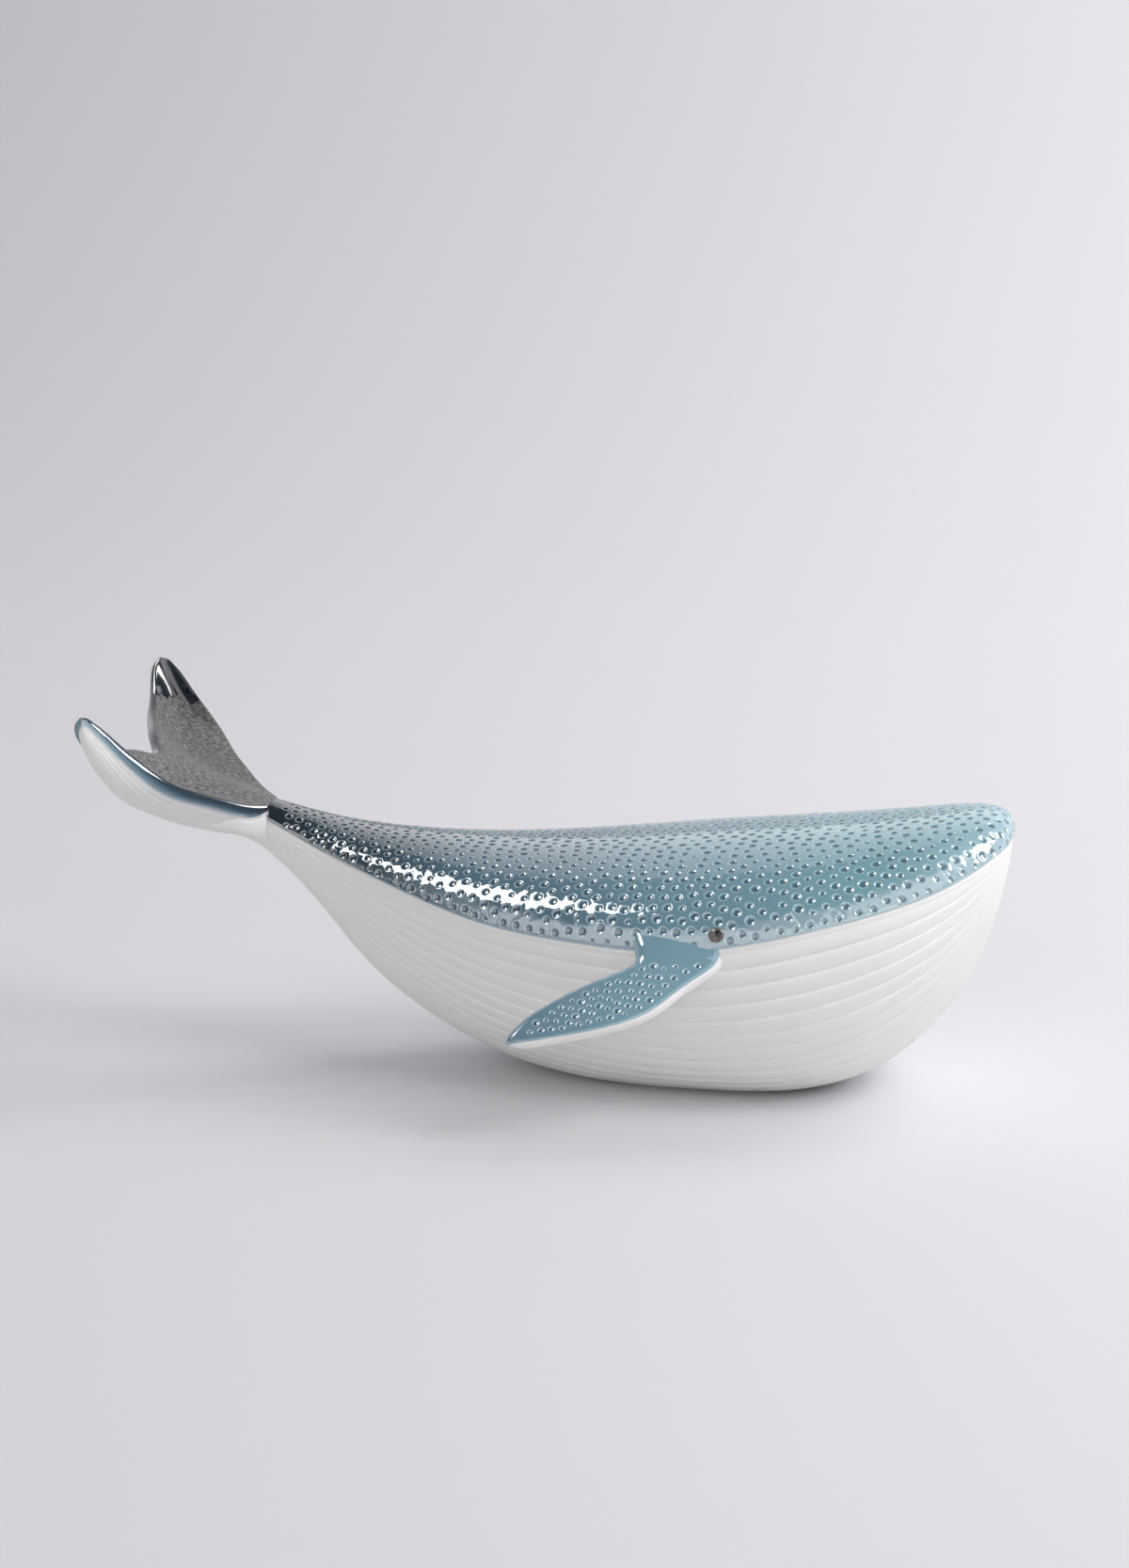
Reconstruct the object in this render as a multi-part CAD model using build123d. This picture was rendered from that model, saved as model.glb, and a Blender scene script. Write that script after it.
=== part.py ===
from build123d import *
import os
from math import atan2, cos, hypot, pi, radians, sin

# A porcelain whale at rest on its belly. The snout points along +X, +Z is up, and the
# origin is the centre of the flat ground foot. Everything is in millimetres.

# Driving sizes of the hull
nose_reach = 114.0
tail_reach = 166.0
half_beam = 67.0
back_height = 104.7
casting_wall = 4.5

# Pleats of the throat and belly
pleats_per_side = 16
pleat_depth = 0.55
smooth_band = 1.6
deepest_pleat_share = 0.1

# Coat of glass on the back, fluke and fins
glaze_thickness = 0.6

# Vent hole in the foot
vent_radius = 3.0
vent_reach = 30.0

# Fluke
fluke_half_span = 57.8
fluke_length = 60.0
fluke_rise = 42.6
fluke_seat_drop = 1.0
fluke_belly_depth = 18.0
fluke_dish_depth = 6.0
fluke_rim_radius = 1.9
fluke_pleats = 7
fluke_stub_length = 43.0
spigot_length = 7.0
spigot_clearance = 0.3

# Fins
fin_sweep = 49.0
fin_span = 42.0
fin_thickness = 7.0
fin_droop = 38.0
fin_reach = -10.0
fin_height = 61.5
fin_edge_radius = 1.9
fin_bare_rim = 2.6

# Eyes
eye_radius = 2.7
eye_seat_depth = 1.9
eye_proud = 0.9
eye_reach = 11.6
eye_rise = 4.7

# A cut runs past what it cuts by this much
overrun = 5.0

# Roundness of the hull's sections: 2 is an ellipse, more is squarer
back_squareness_share = 2.35
belly_squareness_share = 2.2

# Stations of the hull from the tail joint to the snout. Place is a share of the hull's
# length, half width a share of the half beam, and the rest shares of the back's height:
# crown, widest line, keel and glaze line.
hull_shares = [
    (0.000, 0.172, 0.936, 0.852, 0.750, 0.896),
    (0.057, 0.239, 0.893, 0.795, 0.604, 0.832),
    (0.129, 0.351, 0.854, 0.733, 0.379, 0.759),
    (0.218, 0.522, 0.830, 0.661, 0.193, 0.689),
    (0.325, 0.716, 0.824, 0.608, 0.059, 0.630),
    (0.450, 0.881, 0.843, 0.583, -0.014, 0.607),
    (0.593, 0.993, 0.881, 0.578, -0.028, 0.613),
    (0.718, 1.000, 0.914, 0.597, -0.013, 0.676),
    (0.825, 0.903, 0.949, 0.645, 0.078, 0.746),
    (0.907, 0.724, 0.985, 0.716, 0.272, 0.809),
    (0.957, 0.522, 1.000, 0.788, 0.478, 0.860),
    (0.986, 0.321, 0.989, 0.855, 0.697, 0.896),
    (0.997, 0.142, 0.960, 0.898, 0.836, 0.908),
    (1.000, 0.040, 0.932, 0.917, 0.902, 0.918),
]

# The tail's root runs on under the fluke as a keel and dies away in it. Place is a share
# of the stub's length behind the joint, then half width, crown, widest line and keel.
stub_shares = [
    (1.00, 0.060, 0.985, 0.975, 0.960),
    (0.86, 0.134, 0.974, 0.925, 0.869),
    (0.67, 0.194, 0.965, 0.900, 0.836),
    (0.42, 0.224, 0.946, 0.885, 0.822),
    (0.21, 0.209, 0.936, 0.870, 0.807),
]

# Edges of one lobe of the fluke from the middle to the tip: shares of the half span, then
# length and rise of the leading edge, length and rise of the trailing edge, and shares of
# the belly's depth, the dish's depth and the rim's radius.
fluke_shares = [
    (0.000, -0.05, -0.045, 0.765, 0.380, 0.95, 0.05, 1.00),
    (0.208, 0.070, 0.070, 0.827, 0.460, 0.93, 0.45, 1.00),
    (0.415, 0.247, 0.150, 0.895, 0.524, 0.82, 0.95, 1.00),
    (0.623, 0.400, 0.250, 0.948, 0.588, 0.68, 1.00, 1.00),
    (0.761, 0.497, 0.360, 0.970, 0.671, 0.55, 0.95, 1.00),
    (0.865, 0.622, 0.549, 0.990, 0.770, 0.46, 0.80, 1.00),
    (0.934, 0.748, 0.751, 1.000, 0.869, 0.37, 0.55, 0.95),
    (0.978, 0.842, 0.904, 0.987, 0.953, 0.25, 0.25, 0.80),
    (1.000, 0.908, 0.986, 0.958, 1.000, 0.14, 0.00, 0.42),
]

# Edges of a fin from its root to its tip: shares of sweep and span of the leading edge,
# the same of the trailing edge, and a share of the thickness.
fin_shares = [
    (-0.465, -0.190, 0.173, -0.190, 1.00),
    (-0.445, 0.095, 0.108, 0.095, 0.95),
    (-0.371, 0.200, 0.184, 0.167, 0.92),
    (-0.224, 0.390, 0.400, 0.312, 0.86),
    (-0.041, 0.619, 0.612, 0.464, 0.82),
    (0.163, 0.757, 0.755, 0.595, 0.78),
    (0.429, 0.869, 0.878, 0.721, 0.72),
    (0.673, 0.948, 0.955, 0.833, 0.66),
    (0.857, 1.002, 0.996, 0.919, 0.58),
    (0.939, 1.000, 1.000, 0.964, 0.48),
]

hull_length = nose_reach + tail_reach

# The fluke starts a little under the crown of the tail that it is luted to
fluke_base_height = hull_shares[0][2] * back_height - fluke_seat_drop

# Counts of steps and strips, and shares of roundness and of room
curve_steps = 9
back_strips = 7
coat_strips = 12
plain_strips = 6
dish_strips = 8
fin_strips = 5
fullness_share = 0.75
widest_edge_share = 0.3
widest_band_share = 0.6
stub_line_share = 0.2


class Station:
    """One cross-section of the hull, square to its length."""

    def __init__(self, x, half_width, crown, widest, keel, glaze_line):
        self.x = x
        self.half_width = half_width
        self.crown = crown
        self.widest = widest
        self.keel = keel
        self.glaze_line = glaze_line

    def upper(self, turn):
        """Point of the upper half: turn 0 is the crown, a quarter turn the widest line."""
        power = 2 / back_squareness_share
        side = self.half_width * sin(abs(turn)) ** power
        up = self.widest + (self.crown - self.widest) * cos(turn) ** power
        return Vector(self.x, side if turn > 0 else -side, up)

    def upper_turn(self, height):
        """The turn at which the upper half reaches a height."""
        share = (height - self.widest) / (self.crown - self.widest)
        cosine = share ** (back_squareness_share / 2)
        return atan2((1 - cosine ** 2) ** 0.5, cosine)

    def lower(self, turn):
        """Point of the lower half: turn 0 is the widest line, a quarter turn the keel."""
        power = 2 / belly_squareness_share
        side = self.half_width * cos(turn) ** power
        down = self.widest - (self.widest - self.keel) * sin(abs(turn)) ** power
        return Vector(self.x, side, down)


def hull_stations():
    """The stations of the hull, at their real places and sizes."""
    stations = []
    for place, width, crown, widest, keel, glaze in hull_shares:
        stations.append(Station(
            place * hull_length - tail_reach,
            width * half_beam,
            crown * back_height,
            widest * back_height,
            keel * back_height,
            glaze * back_height,
        ))
    return stations


def stub_stations():
    """The stations that carry the tail's root on under the fluke."""
    stations = []
    for place, width, crown, widest, keel in stub_shares:
        low = widest * back_height
        stations.append(Station(
            -tail_reach - place * fluke_stub_length,
            width * half_beam,
            crown * back_height,
            low,
            keel * back_height,
            low + (crown - widest) * back_height * stub_line_share,
        ))
    return stations


def band_edge(station):
    """Where the smooth band under the glaze line ends and the pleats begin."""
    room = (station.glaze_line - station.widest) * widest_band_share
    return station.upper_turn(station.glaze_line - min(smooth_band, room))


def flank_curve(station):
    """The plain curve of one flank, from the band's edge down to the keel."""
    start = band_edge(station)
    points = [station.upper(start)]
    points += [station.lower(pi / 2 * k / curve_steps) for k in range(curve_steps + 1)]
    return Spline(*points)


def mirror_y(point):
    return Vector(point.X, -point.Y, point.Z)


def pleated_ring(station):
    """Points round a station: the smooth back, then a crest and a groove for each pleat."""
    start = band_edge(station)
    back = [station.upper(start * k / back_strips) for k in range(back_strips)]
    flank = flank_curve(station)
    width = flank.length / pleats_per_side
    depth = min(pleat_depth, width * deepest_pleat_share)
    side = [station.upper(start)]
    for k in range(1, 2 * pleats_per_side + 1):
        share = k / (2 * pleats_per_side)
        slope = flank.tangent_at(share)
        inward = Vector(0, slope.Z, -slope.Y)
        side.append(flank.position_at(share) + inward * depth * ((k + 1) % 2))
    half = back + side
    return half + [mirror_y(point) for point in reversed(half[1:-1])]


def plain_ring(station):
    """Points round a station without pleats."""
    quarter = [pi / 2 * k / plain_strips for k in range(plain_strips + 1)]
    half = [station.upper(turn) for turn in quarter]
    half += [station.lower(turn) for turn in quarter[1:]]
    return half + [mirror_y(point) for point in reversed(half[1:-1])]


def strip_solid(rings):
    """Solid through rings of points. A spline rail runs lengthwise through each point, and
    a ruled strip fills the space between two neighbouring rails."""
    rails = [Spline(*points) for points in zip(*rings)]
    rails.append(rails[0])
    faces = [Face.make_surface_from_curves(one, two) for one, two in zip(rails, rails[1:])]
    faces.append(Face(Wire(Polyline(*rings[0], close=True).edges())))
    faces.append(Face(Wire(Polyline(*rings[-1], close=True).edges())))
    return Solid(Shell(faces))


def cap_ring(station):
    """Points round the glazed back with its coat on, closed inside at the glaze line."""
    start = station.upper_turn(station.glaze_line)
    half = [station.upper(start * k / coat_strips) for k in range(coat_strips + 1)]
    inside = Vector(station.x, 0, station.glaze_line)
    return half + [inside] + [mirror_y(point) for point in reversed(half[1:])]


def largest(shape):
    """The piece itself, without the scraps that a cut can leave beside it."""
    return max(shape.solids(), key=lambda solid: solid.volume)


def make_hull():
    """The whole pleated hull with the tail's root, solid, standing on its ground foot."""
    hull = strip_solid([pleated_ring(station) for station in stub_stations() + hull_stations()])
    return largest(split(hull, bisect_by=Plane.XY, keep=Keep.TOP))


def cavity_stations():
    """Stations of the hollow that is left when the slip is poured out of the mould. The
    wall is measured square to the hull, so the insets grow where the hull is steep."""
    stations = hull_stations()
    inner = []
    for behind, station, ahead in zip(stations[:1] + stations, stations, stations[1:-1]):
        run = ahead.x - behind.x
        insets = {}
        for name in ("half_width", "crown", "keel"):
            rise = (getattr(ahead, name) - getattr(behind, name)) / run
            insets[name] = casting_wall * hypot(1, rise)
        inner.append(Station(
            station.x,
            station.half_width - insets["half_width"],
            station.crown - insets["crown"],
            station.widest,
            max(station.keel, 0) + insets["keel"],
            station.glaze_line,
        ))
    return inner


def moved(station, x, gap=0):
    """The same station at another place, drawn in all round by a gap."""
    return Station(
        x,
        station.half_width - gap,
        station.crown - gap,
        station.widest,
        station.keel + gap,
        station.glaze_line,
    )


def make_cavity(gap=0):
    """The hollow, drawn in by a gap, and run on past the tail joint to open the cut."""
    inner = [moved(station, station.x, gap) for station in cavity_stations()]
    inner.insert(0, moved(inner[0], inner[0].x - overrun))
    return strip_solid([plain_ring(station) for station in inner])


def make_back_glaze(hull):
    """The coat of glass on the back, thickest at its step along the glaze line."""
    rings = []
    for station in hull_stations():
        place = station.x
        if place > 0:
            place *= 1 + glaze_thickness / nose_reach
        rings.append(cap_ring(Station(
            place,
            station.half_width + glaze_thickness,
            station.crown + glaze_thickness,
            station.widest,
            station.keel,
            station.glaze_line,
        )))
    return largest(strip_solid(rings) - hull)


def fluke_rows():
    """Edges and depths of the fluke from the left tip, over the middle, to the right tip."""
    half = []
    for span, lead_back, lead_up, trail_back, trail_up, belly, dish, rim in fluke_shares:
        side = span * fluke_half_span
        lead = Vector(-tail_reach - lead_back * fluke_length, side,
                      fluke_base_height + lead_up * fluke_rise)
        trail = Vector(-tail_reach - trail_back * fluke_length, side,
                       fluke_base_height + trail_up * fluke_rise)
        half.append((lead, trail, belly * fluke_belly_depth, dish * fluke_dish_depth,
                     rim * fluke_rim_radius))
    other = [(mirror_y(lead), mirror_y(trail), *rest) for lead, trail, *rest in half[1:]]
    return list(reversed(half)) + other


def framed_rows():
    """Rows of the fluke with the direction along the chord and the one square to it."""
    rows = fluke_rows()
    middles = [(lead + trail) / 2 for lead, trail, *rest in rows]
    framed = []
    for k, (lead, trail, belly, dish, rim) in enumerate(rows):
        spine = middles[min(k + 1, len(rows) - 1)] - middles[max(k - 1, 0)]
        chord = (trail - lead).normalized()
        down = chord.cross(spine).normalized()
        if down.Z > 0:
            down = down * -1
        framed.append((lead, trail, chord, down, belly, dish, rim))
    return framed


def rim_arc(centre, outward, down, radius, angles):
    """Points of a rounded edge. Angle 0 faces outward, and 90 degrees faces down."""
    points = []
    for angle in angles:
        turn = radians(angle)
        points.append(centre + outward * (radius * cos(turn)) + down * (radius * sin(turn)))
    return points


def between(start, end, count):
    """Evenly spaced points strictly between two points, each with its share of the way."""
    return [(start + (end - start) * (k / count), k / count) for k in range(1, count)]


def fluke_ring(row):
    """Points round one section of the fluke: rounded rims, pleated belly, dished top."""
    lead, trail, chord, down, belly, dish, rim = row
    front = lead + chord * rim
    rear = trail - chord * rim
    width = (trail - lead).length / fluke_pleats
    groove = min(pleat_depth, width * deepest_pleat_share)
    points = rim_arc(front, chord * -1, down, rim, (-90, -45, 0, 45, 90))
    low = 2 * fluke_pleats
    for k, (place, share) in enumerate(between(front, rear, low), start=1):
        sag = rim + (belly - rim) * sin(pi * share) ** fullness_share - groove * ((k + 1) % 2)
        points.append(place + down * sag)
    points += rim_arc(rear, chord, down, rim, (90, 45, 0, -45, -90))
    for place, share in between(rear, front, dish_strips):
        points.append(place + down * (dish * sin(pi * share) - rim))
    return points


def fluke_cap_ring(row):
    """Points round the fluke's coat with its inner side buried in the fluke."""
    lead, trail, chord, down, belly, dish, rim = row
    front = lead + chord * rim
    rear = trail - chord * rim
    proud = rim + glaze_thickness
    points = rim_arc(rear, chord, down, proud, (0, -45, -90))
    for place, share in between(rear, front, dish_strips):
        points.append(place + down * (dish * sin(pi * share) - proud))
    points += rim_arc(front, chord * -1, down, proud, (-90, -45, 0))
    for place, share in between(front, rear, dish_strips):
        points.append(place + down * (dish * sin(pi * share)))
    return points


def joint_plane(ahead=0):
    """The plane of the luted joint between the body and the fluke, facing forward, or one
    that lies some way ahead of it."""
    return Plane(origin=(ahead - tail_reach, 0, 0), z_dir=(1, 0, 0))


def make_fluke(hull):
    """The fluke with its share of the tail's root and the spigot that keys it."""
    blade = strip_solid([fluke_ring(row) for row in framed_rows()])
    root = split(hull, bisect_by=joint_plane(), keep=Keep.BOTTOM)
    blade = split(blade, bisect_by=joint_plane(), keep=Keep.BOTTOM)
    plug = make_cavity(spigot_clearance)
    spigot = split(plug, bisect_by=joint_plane(spigot_length), keep=Keep.BOTTOM)
    return largest(blade + root + spigot)


def make_fluke_glaze(hull, fluke):
    """The coat on the fluke's dished top, rolled over half of its rim and over the tips."""
    rows = framed_rows()
    rings = [fluke_cap_ring(row) for row in rows]
    for ring, beyond in ((rings[0], 1), (rings[-1], -1)):
        for k, point in enumerate(ring):
            ring[k] = point + Vector(0, beyond * glaze_thickness, 0)
    cap = split(strip_solid(rings), bisect_by=joint_plane(), keep=Keep.BOTTOM)
    return largest(cap - fluke)


class FinFrame:
    """Places on the plane of the right fin: back along the body, out down its slope, and
    up square to its face."""

    def __init__(self, root):
        droop = radians(fin_droop)
        self.root = root
        self.out = Vector(0, -cos(droop), -sin(droop))
        self.up = Vector(0, -sin(droop), cos(droop))

    def at(self, back, out):
        return self.root + Vector(-back, 0, 0) + self.out * out


def fin_rows(frame):
    """Leading point, trailing point, chord direction, thickness and edge radius."""
    rows = []
    for lead_back, lead_out, trail_back, trail_out, thick in fin_shares:
        lead = frame.at(lead_back * fin_sweep, lead_out * fin_span)
        trail = frame.at(trail_back * fin_sweep, trail_out * fin_span)
        chord = (trail - lead).normalized()
        radius = min(fin_edge_radius, (trail - lead).length * widest_edge_share)
        rows.append((lead, trail, chord, thick * fin_thickness, radius))
    return rows


def fin_ring(row, frame):
    """Points round one section of a fin: a lens with rounded edges."""
    lead, trail, chord, thick, radius = row
    down = frame.up * -1
    front = lead + chord * radius
    rear = trail - chord * radius
    swell = max(thick / 2 - radius, 0)
    points = rim_arc(front, chord * -1, down, radius, (-90, -45, 0, 45, 90))
    for place, share in between(front, rear, fin_strips):
        points.append(place + down * (radius + swell * sin(pi * share)))
    points += rim_arc(rear, chord, down, radius, (90, 45, 0, -45, -90))
    for place, share in between(rear, front, fin_strips):
        points.append(place - down * (radius + swell * sin(pi * share)))
    return points


def fin_cap_ring(row, frame):
    """Points round the fin's coat, which leaves the leading edge bare."""
    lead, trail, chord, thick, radius = row
    up = frame.up
    front = lead + chord * min(fin_bare_rim, (trail - lead).length * widest_edge_share)
    rear = trail - chord * radius
    proud = radius + glaze_thickness
    swell = max(thick / 2 - radius, 0)
    points = rim_arc(rear, chord, up * -1, proud, (0, -45, -90))
    for place, share in between(rear, front, fin_strips):
        points.append(place + up * (proud + swell * sin(pi * share)))
    points.append(front + up * proud)
    points.append(front)
    return points


def mirrored(solid):
    """The same piece for the other side of the body."""
    return mirror(solid, about=Plane.XZ)


def glaze_height(reach):
    """Height of the glaze line at a place along the hull."""
    stations = hull_stations()
    for behind, ahead in zip(stations, stations[1:]):
        if behind.x <= reach <= ahead.x:
            share = (reach - behind.x) / (ahead.x - behind.x)
            return behind.glaze_line + share * (ahead.glaze_line - behind.glaze_line)


def flank_point(solid, reach, height):
    """Where a level line out of the middle plane leaves the right flank, and its normal."""
    line = Axis((reach, 0, height), (0, -1, 0))
    return min(solid.find_intersection_points(line), key=lambda hit: hit[0].Y)


def make_eye(point, normal):
    """A round bead with a flat back and a low dome."""
    profile = Wire([
        Line((0, 0, -eye_seat_depth), (eye_radius, 0, -eye_seat_depth)),
        Line((eye_radius, 0, -eye_seat_depth), (eye_radius, 0, 0)),
        ThreePointArc((eye_radius, 0, 0), dome_middle(), (0, 0, eye_proud)),
        Line((0, 0, eye_proud), (0, 0, -eye_seat_depth)),
    ])
    bead = revolve(Face(profile), axis=Axis.Z)
    return largest(Plane(origin=point, z_dir=normal).location * bead)


def dome_middle():
    """A point half-way along the dome's arc from its rim to its top."""
    dome = (eye_radius ** 2 + eye_proud ** 2) / (2 * eye_proud)
    half = atan2(eye_radius, dome - eye_proud) / 2
    return (dome * sin(half), 0, eye_proud - dome + dome * cos(half))


def make_parts():
    hull = make_hull()
    back_glaze = make_back_glaze(hull)
    fluke = make_fluke(hull)
    fluke_glaze = make_fluke_glaze(hull, fluke)

    eye_height = glaze_height(eye_reach) + eye_rise
    eye_point, eye_normal = flank_point(back_glaze, eye_reach, eye_height)
    right_eye = make_eye(eye_point, eye_normal)
    left_eye = mirrored(right_eye)

    frame = FinFrame(flank_point(hull, fin_reach, fin_height)[0])
    rows = fin_rows(frame)
    blank = strip_solid([fin_ring(row, frame) for row in rows])
    cap = strip_solid([fin_cap_ring(row, frame) for row in rows])
    right_fin = largest(blank - hull - back_glaze)
    right_fin_glaze = largest(cap - blank - hull - back_glaze)

    hollow = split(hull - make_cavity(), bisect_by=joint_plane(), keep=Keep.TOP)
    drill = Pos(vent_reach, 0, 0) * Cylinder(vent_radius, 2 * (casting_wall + overrun))
    body = largest(hollow - drill - right_eye - left_eye)
    back_glaze = largest(back_glaze - right_eye - left_eye)

    return {
        "body": body,
        "back_glaze": back_glaze,
        "tail_fluke": fluke,
        "fluke_glaze": fluke_glaze,
        "right_fin": right_fin,
        "right_fin_glaze": right_fin_glaze,
        "left_fin": mirrored(right_fin),
        "left_fin_glaze": mirrored(right_fin_glaze),
        "right_eye": right_eye,
        "left_eye": left_eye,
    }


os.makedirs("parts", exist_ok=True)
for name, solid in make_parts().items():
    solid.label = name
    export_step(solid, f"parts/{name}.step")
    print(name, round(solid.volume), "mm3", "valid" if solid.is_valid else "not valid")
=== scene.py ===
from math import atan2, cos, pi, radians, sin

import bmesh
import bpy
import numpy as np
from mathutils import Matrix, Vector, geometry, kdtree


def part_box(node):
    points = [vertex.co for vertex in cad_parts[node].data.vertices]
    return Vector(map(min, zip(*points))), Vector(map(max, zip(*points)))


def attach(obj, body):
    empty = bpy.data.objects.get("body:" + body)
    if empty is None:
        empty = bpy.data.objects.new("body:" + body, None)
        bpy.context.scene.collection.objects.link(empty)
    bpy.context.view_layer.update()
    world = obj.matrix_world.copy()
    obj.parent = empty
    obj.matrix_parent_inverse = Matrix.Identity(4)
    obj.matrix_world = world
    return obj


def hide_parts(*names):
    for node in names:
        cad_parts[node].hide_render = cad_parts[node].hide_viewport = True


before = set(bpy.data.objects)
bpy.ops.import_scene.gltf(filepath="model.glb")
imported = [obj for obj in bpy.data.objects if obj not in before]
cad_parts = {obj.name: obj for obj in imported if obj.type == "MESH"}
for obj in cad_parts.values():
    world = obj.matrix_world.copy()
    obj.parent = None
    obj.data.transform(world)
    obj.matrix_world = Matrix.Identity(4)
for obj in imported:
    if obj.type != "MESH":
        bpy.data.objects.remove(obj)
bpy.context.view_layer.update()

# The viewpoint. A long lens stands a little above the back's height and to the right of
# the animal's middle, and looks down on it by a few degrees.
view_azimuth = radians(9.5)
view_elevation = radians(13)
view_place = (0.2062, -1.5578, 0.4734)
view_lens = 100

bpy.ops.object.select_all(action="DESELECT")
bpy.ops.object.camera_add(
    location=view_place,
    rotation=(pi / 2 - view_elevation, 0, view_azimuth),
)
camera = bpy.context.object
camera.data.lens = view_lens
camera.data.clip_end = 30
bpy.context.scene.camera = camera
bpy.context.scene.view_settings.view_transform = "Standard"

# The table and the paper behind it are one sweep of pale matt card, with no line where the
# floor ends and the backdrop begins.
sweep_width = 9
sweep_front = -3.2
sweep_back = 2.6
sweep_height = 3.2
sweep_round = 1.6
sweep_round_steps = 24
card_tone = (0.80, 0.79, 0.815)
cloud_share = 0.99


def matt_card(name, colour):
    """Matt card with a faint cloudiness."""
    card = bpy.data.materials.new(name)
    card.use_nodes = True
    nodes, links = card.node_tree.nodes, card.node_tree.links
    shader = nodes["Principled BSDF"]
    shader.inputs["Roughness"].default_value = 0.9
    shader.inputs["Specular IOR Level"].default_value = 0.1
    place = nodes.new("ShaderNodeTexCoord")
    cloud = nodes.new("ShaderNodeTexNoise")
    cloud.inputs["Scale"].default_value = 3
    ramp = nodes.new("ShaderNodeValToRGB")
    ramp.color_ramp.elements[0].color = (*[part * cloud_share for part in colour], 1)
    ramp.color_ramp.elements[1].color = (*colour, 1)
    links.new(place.outputs["Object"], cloud.inputs["Vector"])
    links.new(cloud.outputs["Fac"], ramp.inputs["Fac"])
    links.new(ramp.outputs["Color"], shader.inputs["Base Color"])
    return card


bpy.ops.object.select_all(action="DESELECT")
bpy.ops.mesh.primitive_plane_add(size=1)
sweep = bpy.context.object
sweep.name = "sweep"
mesh = sweep.data
for vertex in mesh.vertices:
    vertex.co.x *= sweep_width
    vertex.co.y = sweep_back if vertex.co.y > 0 else sweep_front
bpy.ops.object.mode_set(mode="EDIT")
bpy.ops.mesh.select_all(action="DESELECT")
bm = bmesh.from_edit_mesh(mesh)
bpy.context.tool_settings.mesh_select_mode = (False, True, False)
for edge in bm.edges:
    edge.select_set(all(vertex.co.y > 0 for vertex in edge.verts))
bmesh.update_edit_mesh(mesh)
bpy.ops.mesh.extrude_region_move(TRANSFORM_OT_translate={"value": (0, 0, sweep_height)})
bpy.ops.mesh.select_all(action="DESELECT")
bm = bmesh.from_edit_mesh(mesh)
for edge in bm.edges:
    edge.select_set(all(vertex.co.y > 0 and vertex.co.z < sweep_height / 2 for vertex in edge.verts))
bmesh.update_edit_mesh(mesh)
bpy.ops.mesh.bevel(offset=sweep_round, segments=sweep_round_steps, affect="EDGES")
bpy.ops.object.mode_set(mode="OBJECT")
bpy.ops.object.shade_smooth()
sweep.data.materials.append(matt_card("pale_card", card_tone))

# The lights. Soft boxes light the clay and the card but don't show in the glass. Bright cards
# light nothing and show only as reflections: a long strip over the back, a patch over the
# snout, and wide walls for the pits and the rims to mirror.
body_middle = (0, 0, 0.06)
card_behind = (0.3, 1.9, 0.1)
room_tone = (0.5, 0.5, 0.52)
room_strength = 0.35


def panel_light(name, azimuth, elevation, distance, size, power, aim=body_middle):
    """A flat panel that faces its aim. Azimuth 0 is the near side, 90 the right."""
    turn, rise = radians(azimuth), radians(elevation)
    away = Vector((sin(turn) * cos(rise), -cos(turn) * cos(rise), sin(rise)))
    place = Vector(aim) + away * distance
    bpy.ops.object.light_add(type="AREA", location=place)
    lamp = bpy.context.object
    lamp.name = name
    lamp.rotation_mode = "QUATERNION"
    lamp.rotation_quaternion = away.to_track_quat("Z", "Y")
    lamp.data.shape = "RECTANGLE"
    lamp.data.size, lamp.data.size_y = size
    lamp.data.energy = power
    lamp.visible_camera = False
    return lamp


for lamp in (
    panel_light("right_softbox", 75, 38, 1.5, (0.9, 0.9), 11.5),
    panel_light("overhead", 180, 80, 2.8, (4, 4), 16),
    panel_light("backdrop_wash", 55, 50, 1.7, (1.8, 1.4), 24, card_behind),
    panel_light("left_fill", -65, 18, 1.9, (1.2, 1.2), 4),
    panel_light("front_fill", 8, 24, 2.0, (1.6, 1.2), 6),
):
    lamp.visible_glossy = False

for lamp in (
    panel_light("snout_card", 97, 40, 1.5, (0.6, 0.9), 50),
    panel_light("left_strip", -86, 55, 1.5, (0.74, 0.54), 30),
    panel_light("front_wall", -4, 16, 1.8, (3.9, 1.5), 60),
    panel_light("front_side_wall", 42, 40, 1.8, (1.3, 1.6), 18),
    panel_light("back_wall", 204, 28, 2.2, (4.9, 2.0), 27),
):
    lamp.visible_diffuse = False

world = bpy.data.worlds.new("studio")
world.use_nodes = True
world.node_tree.nodes["Background"].inputs["Color"].default_value = (*room_tone, 1)
world.node_tree.nodes["Background"].inputs["Strength"].default_value = room_strength
bpy.context.scene.world = world

# The body: one hollow slip casting of white porcelain, fired but not glazed below the line
# of the blue coat. The mould gives it long rounded pleats from the throat to the tail. Its
# foot is ground flat, and a vent hole through it lets the kiln's gases out.
nose_reach = 0.114
tail_reach = 0.166
half_beam = 0.067
back_height = 0.1047
casting_wall = 0.0045
coat_room = 0.0009
cavity_ends = (0.07, 0.93)
pleats_per_side = 16
pleat_depth = 0.0007
deepest_pleat_share = 0.12
groove_sharpness = 5
smooth_band = 0.0016
widest_band_share = 0.6
back_squareness = 2.35
belly_squareness = 2.2
vent_radius = 0.003
vent_reach = 0.030
cut_angle = radians(75)
weld_distance = 1e-6
hull_steps = 110
cavity_steps = 44
cavity_turn_steps = 12
back_steps = 14
flank_steps = 90
band_steps = 6

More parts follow.
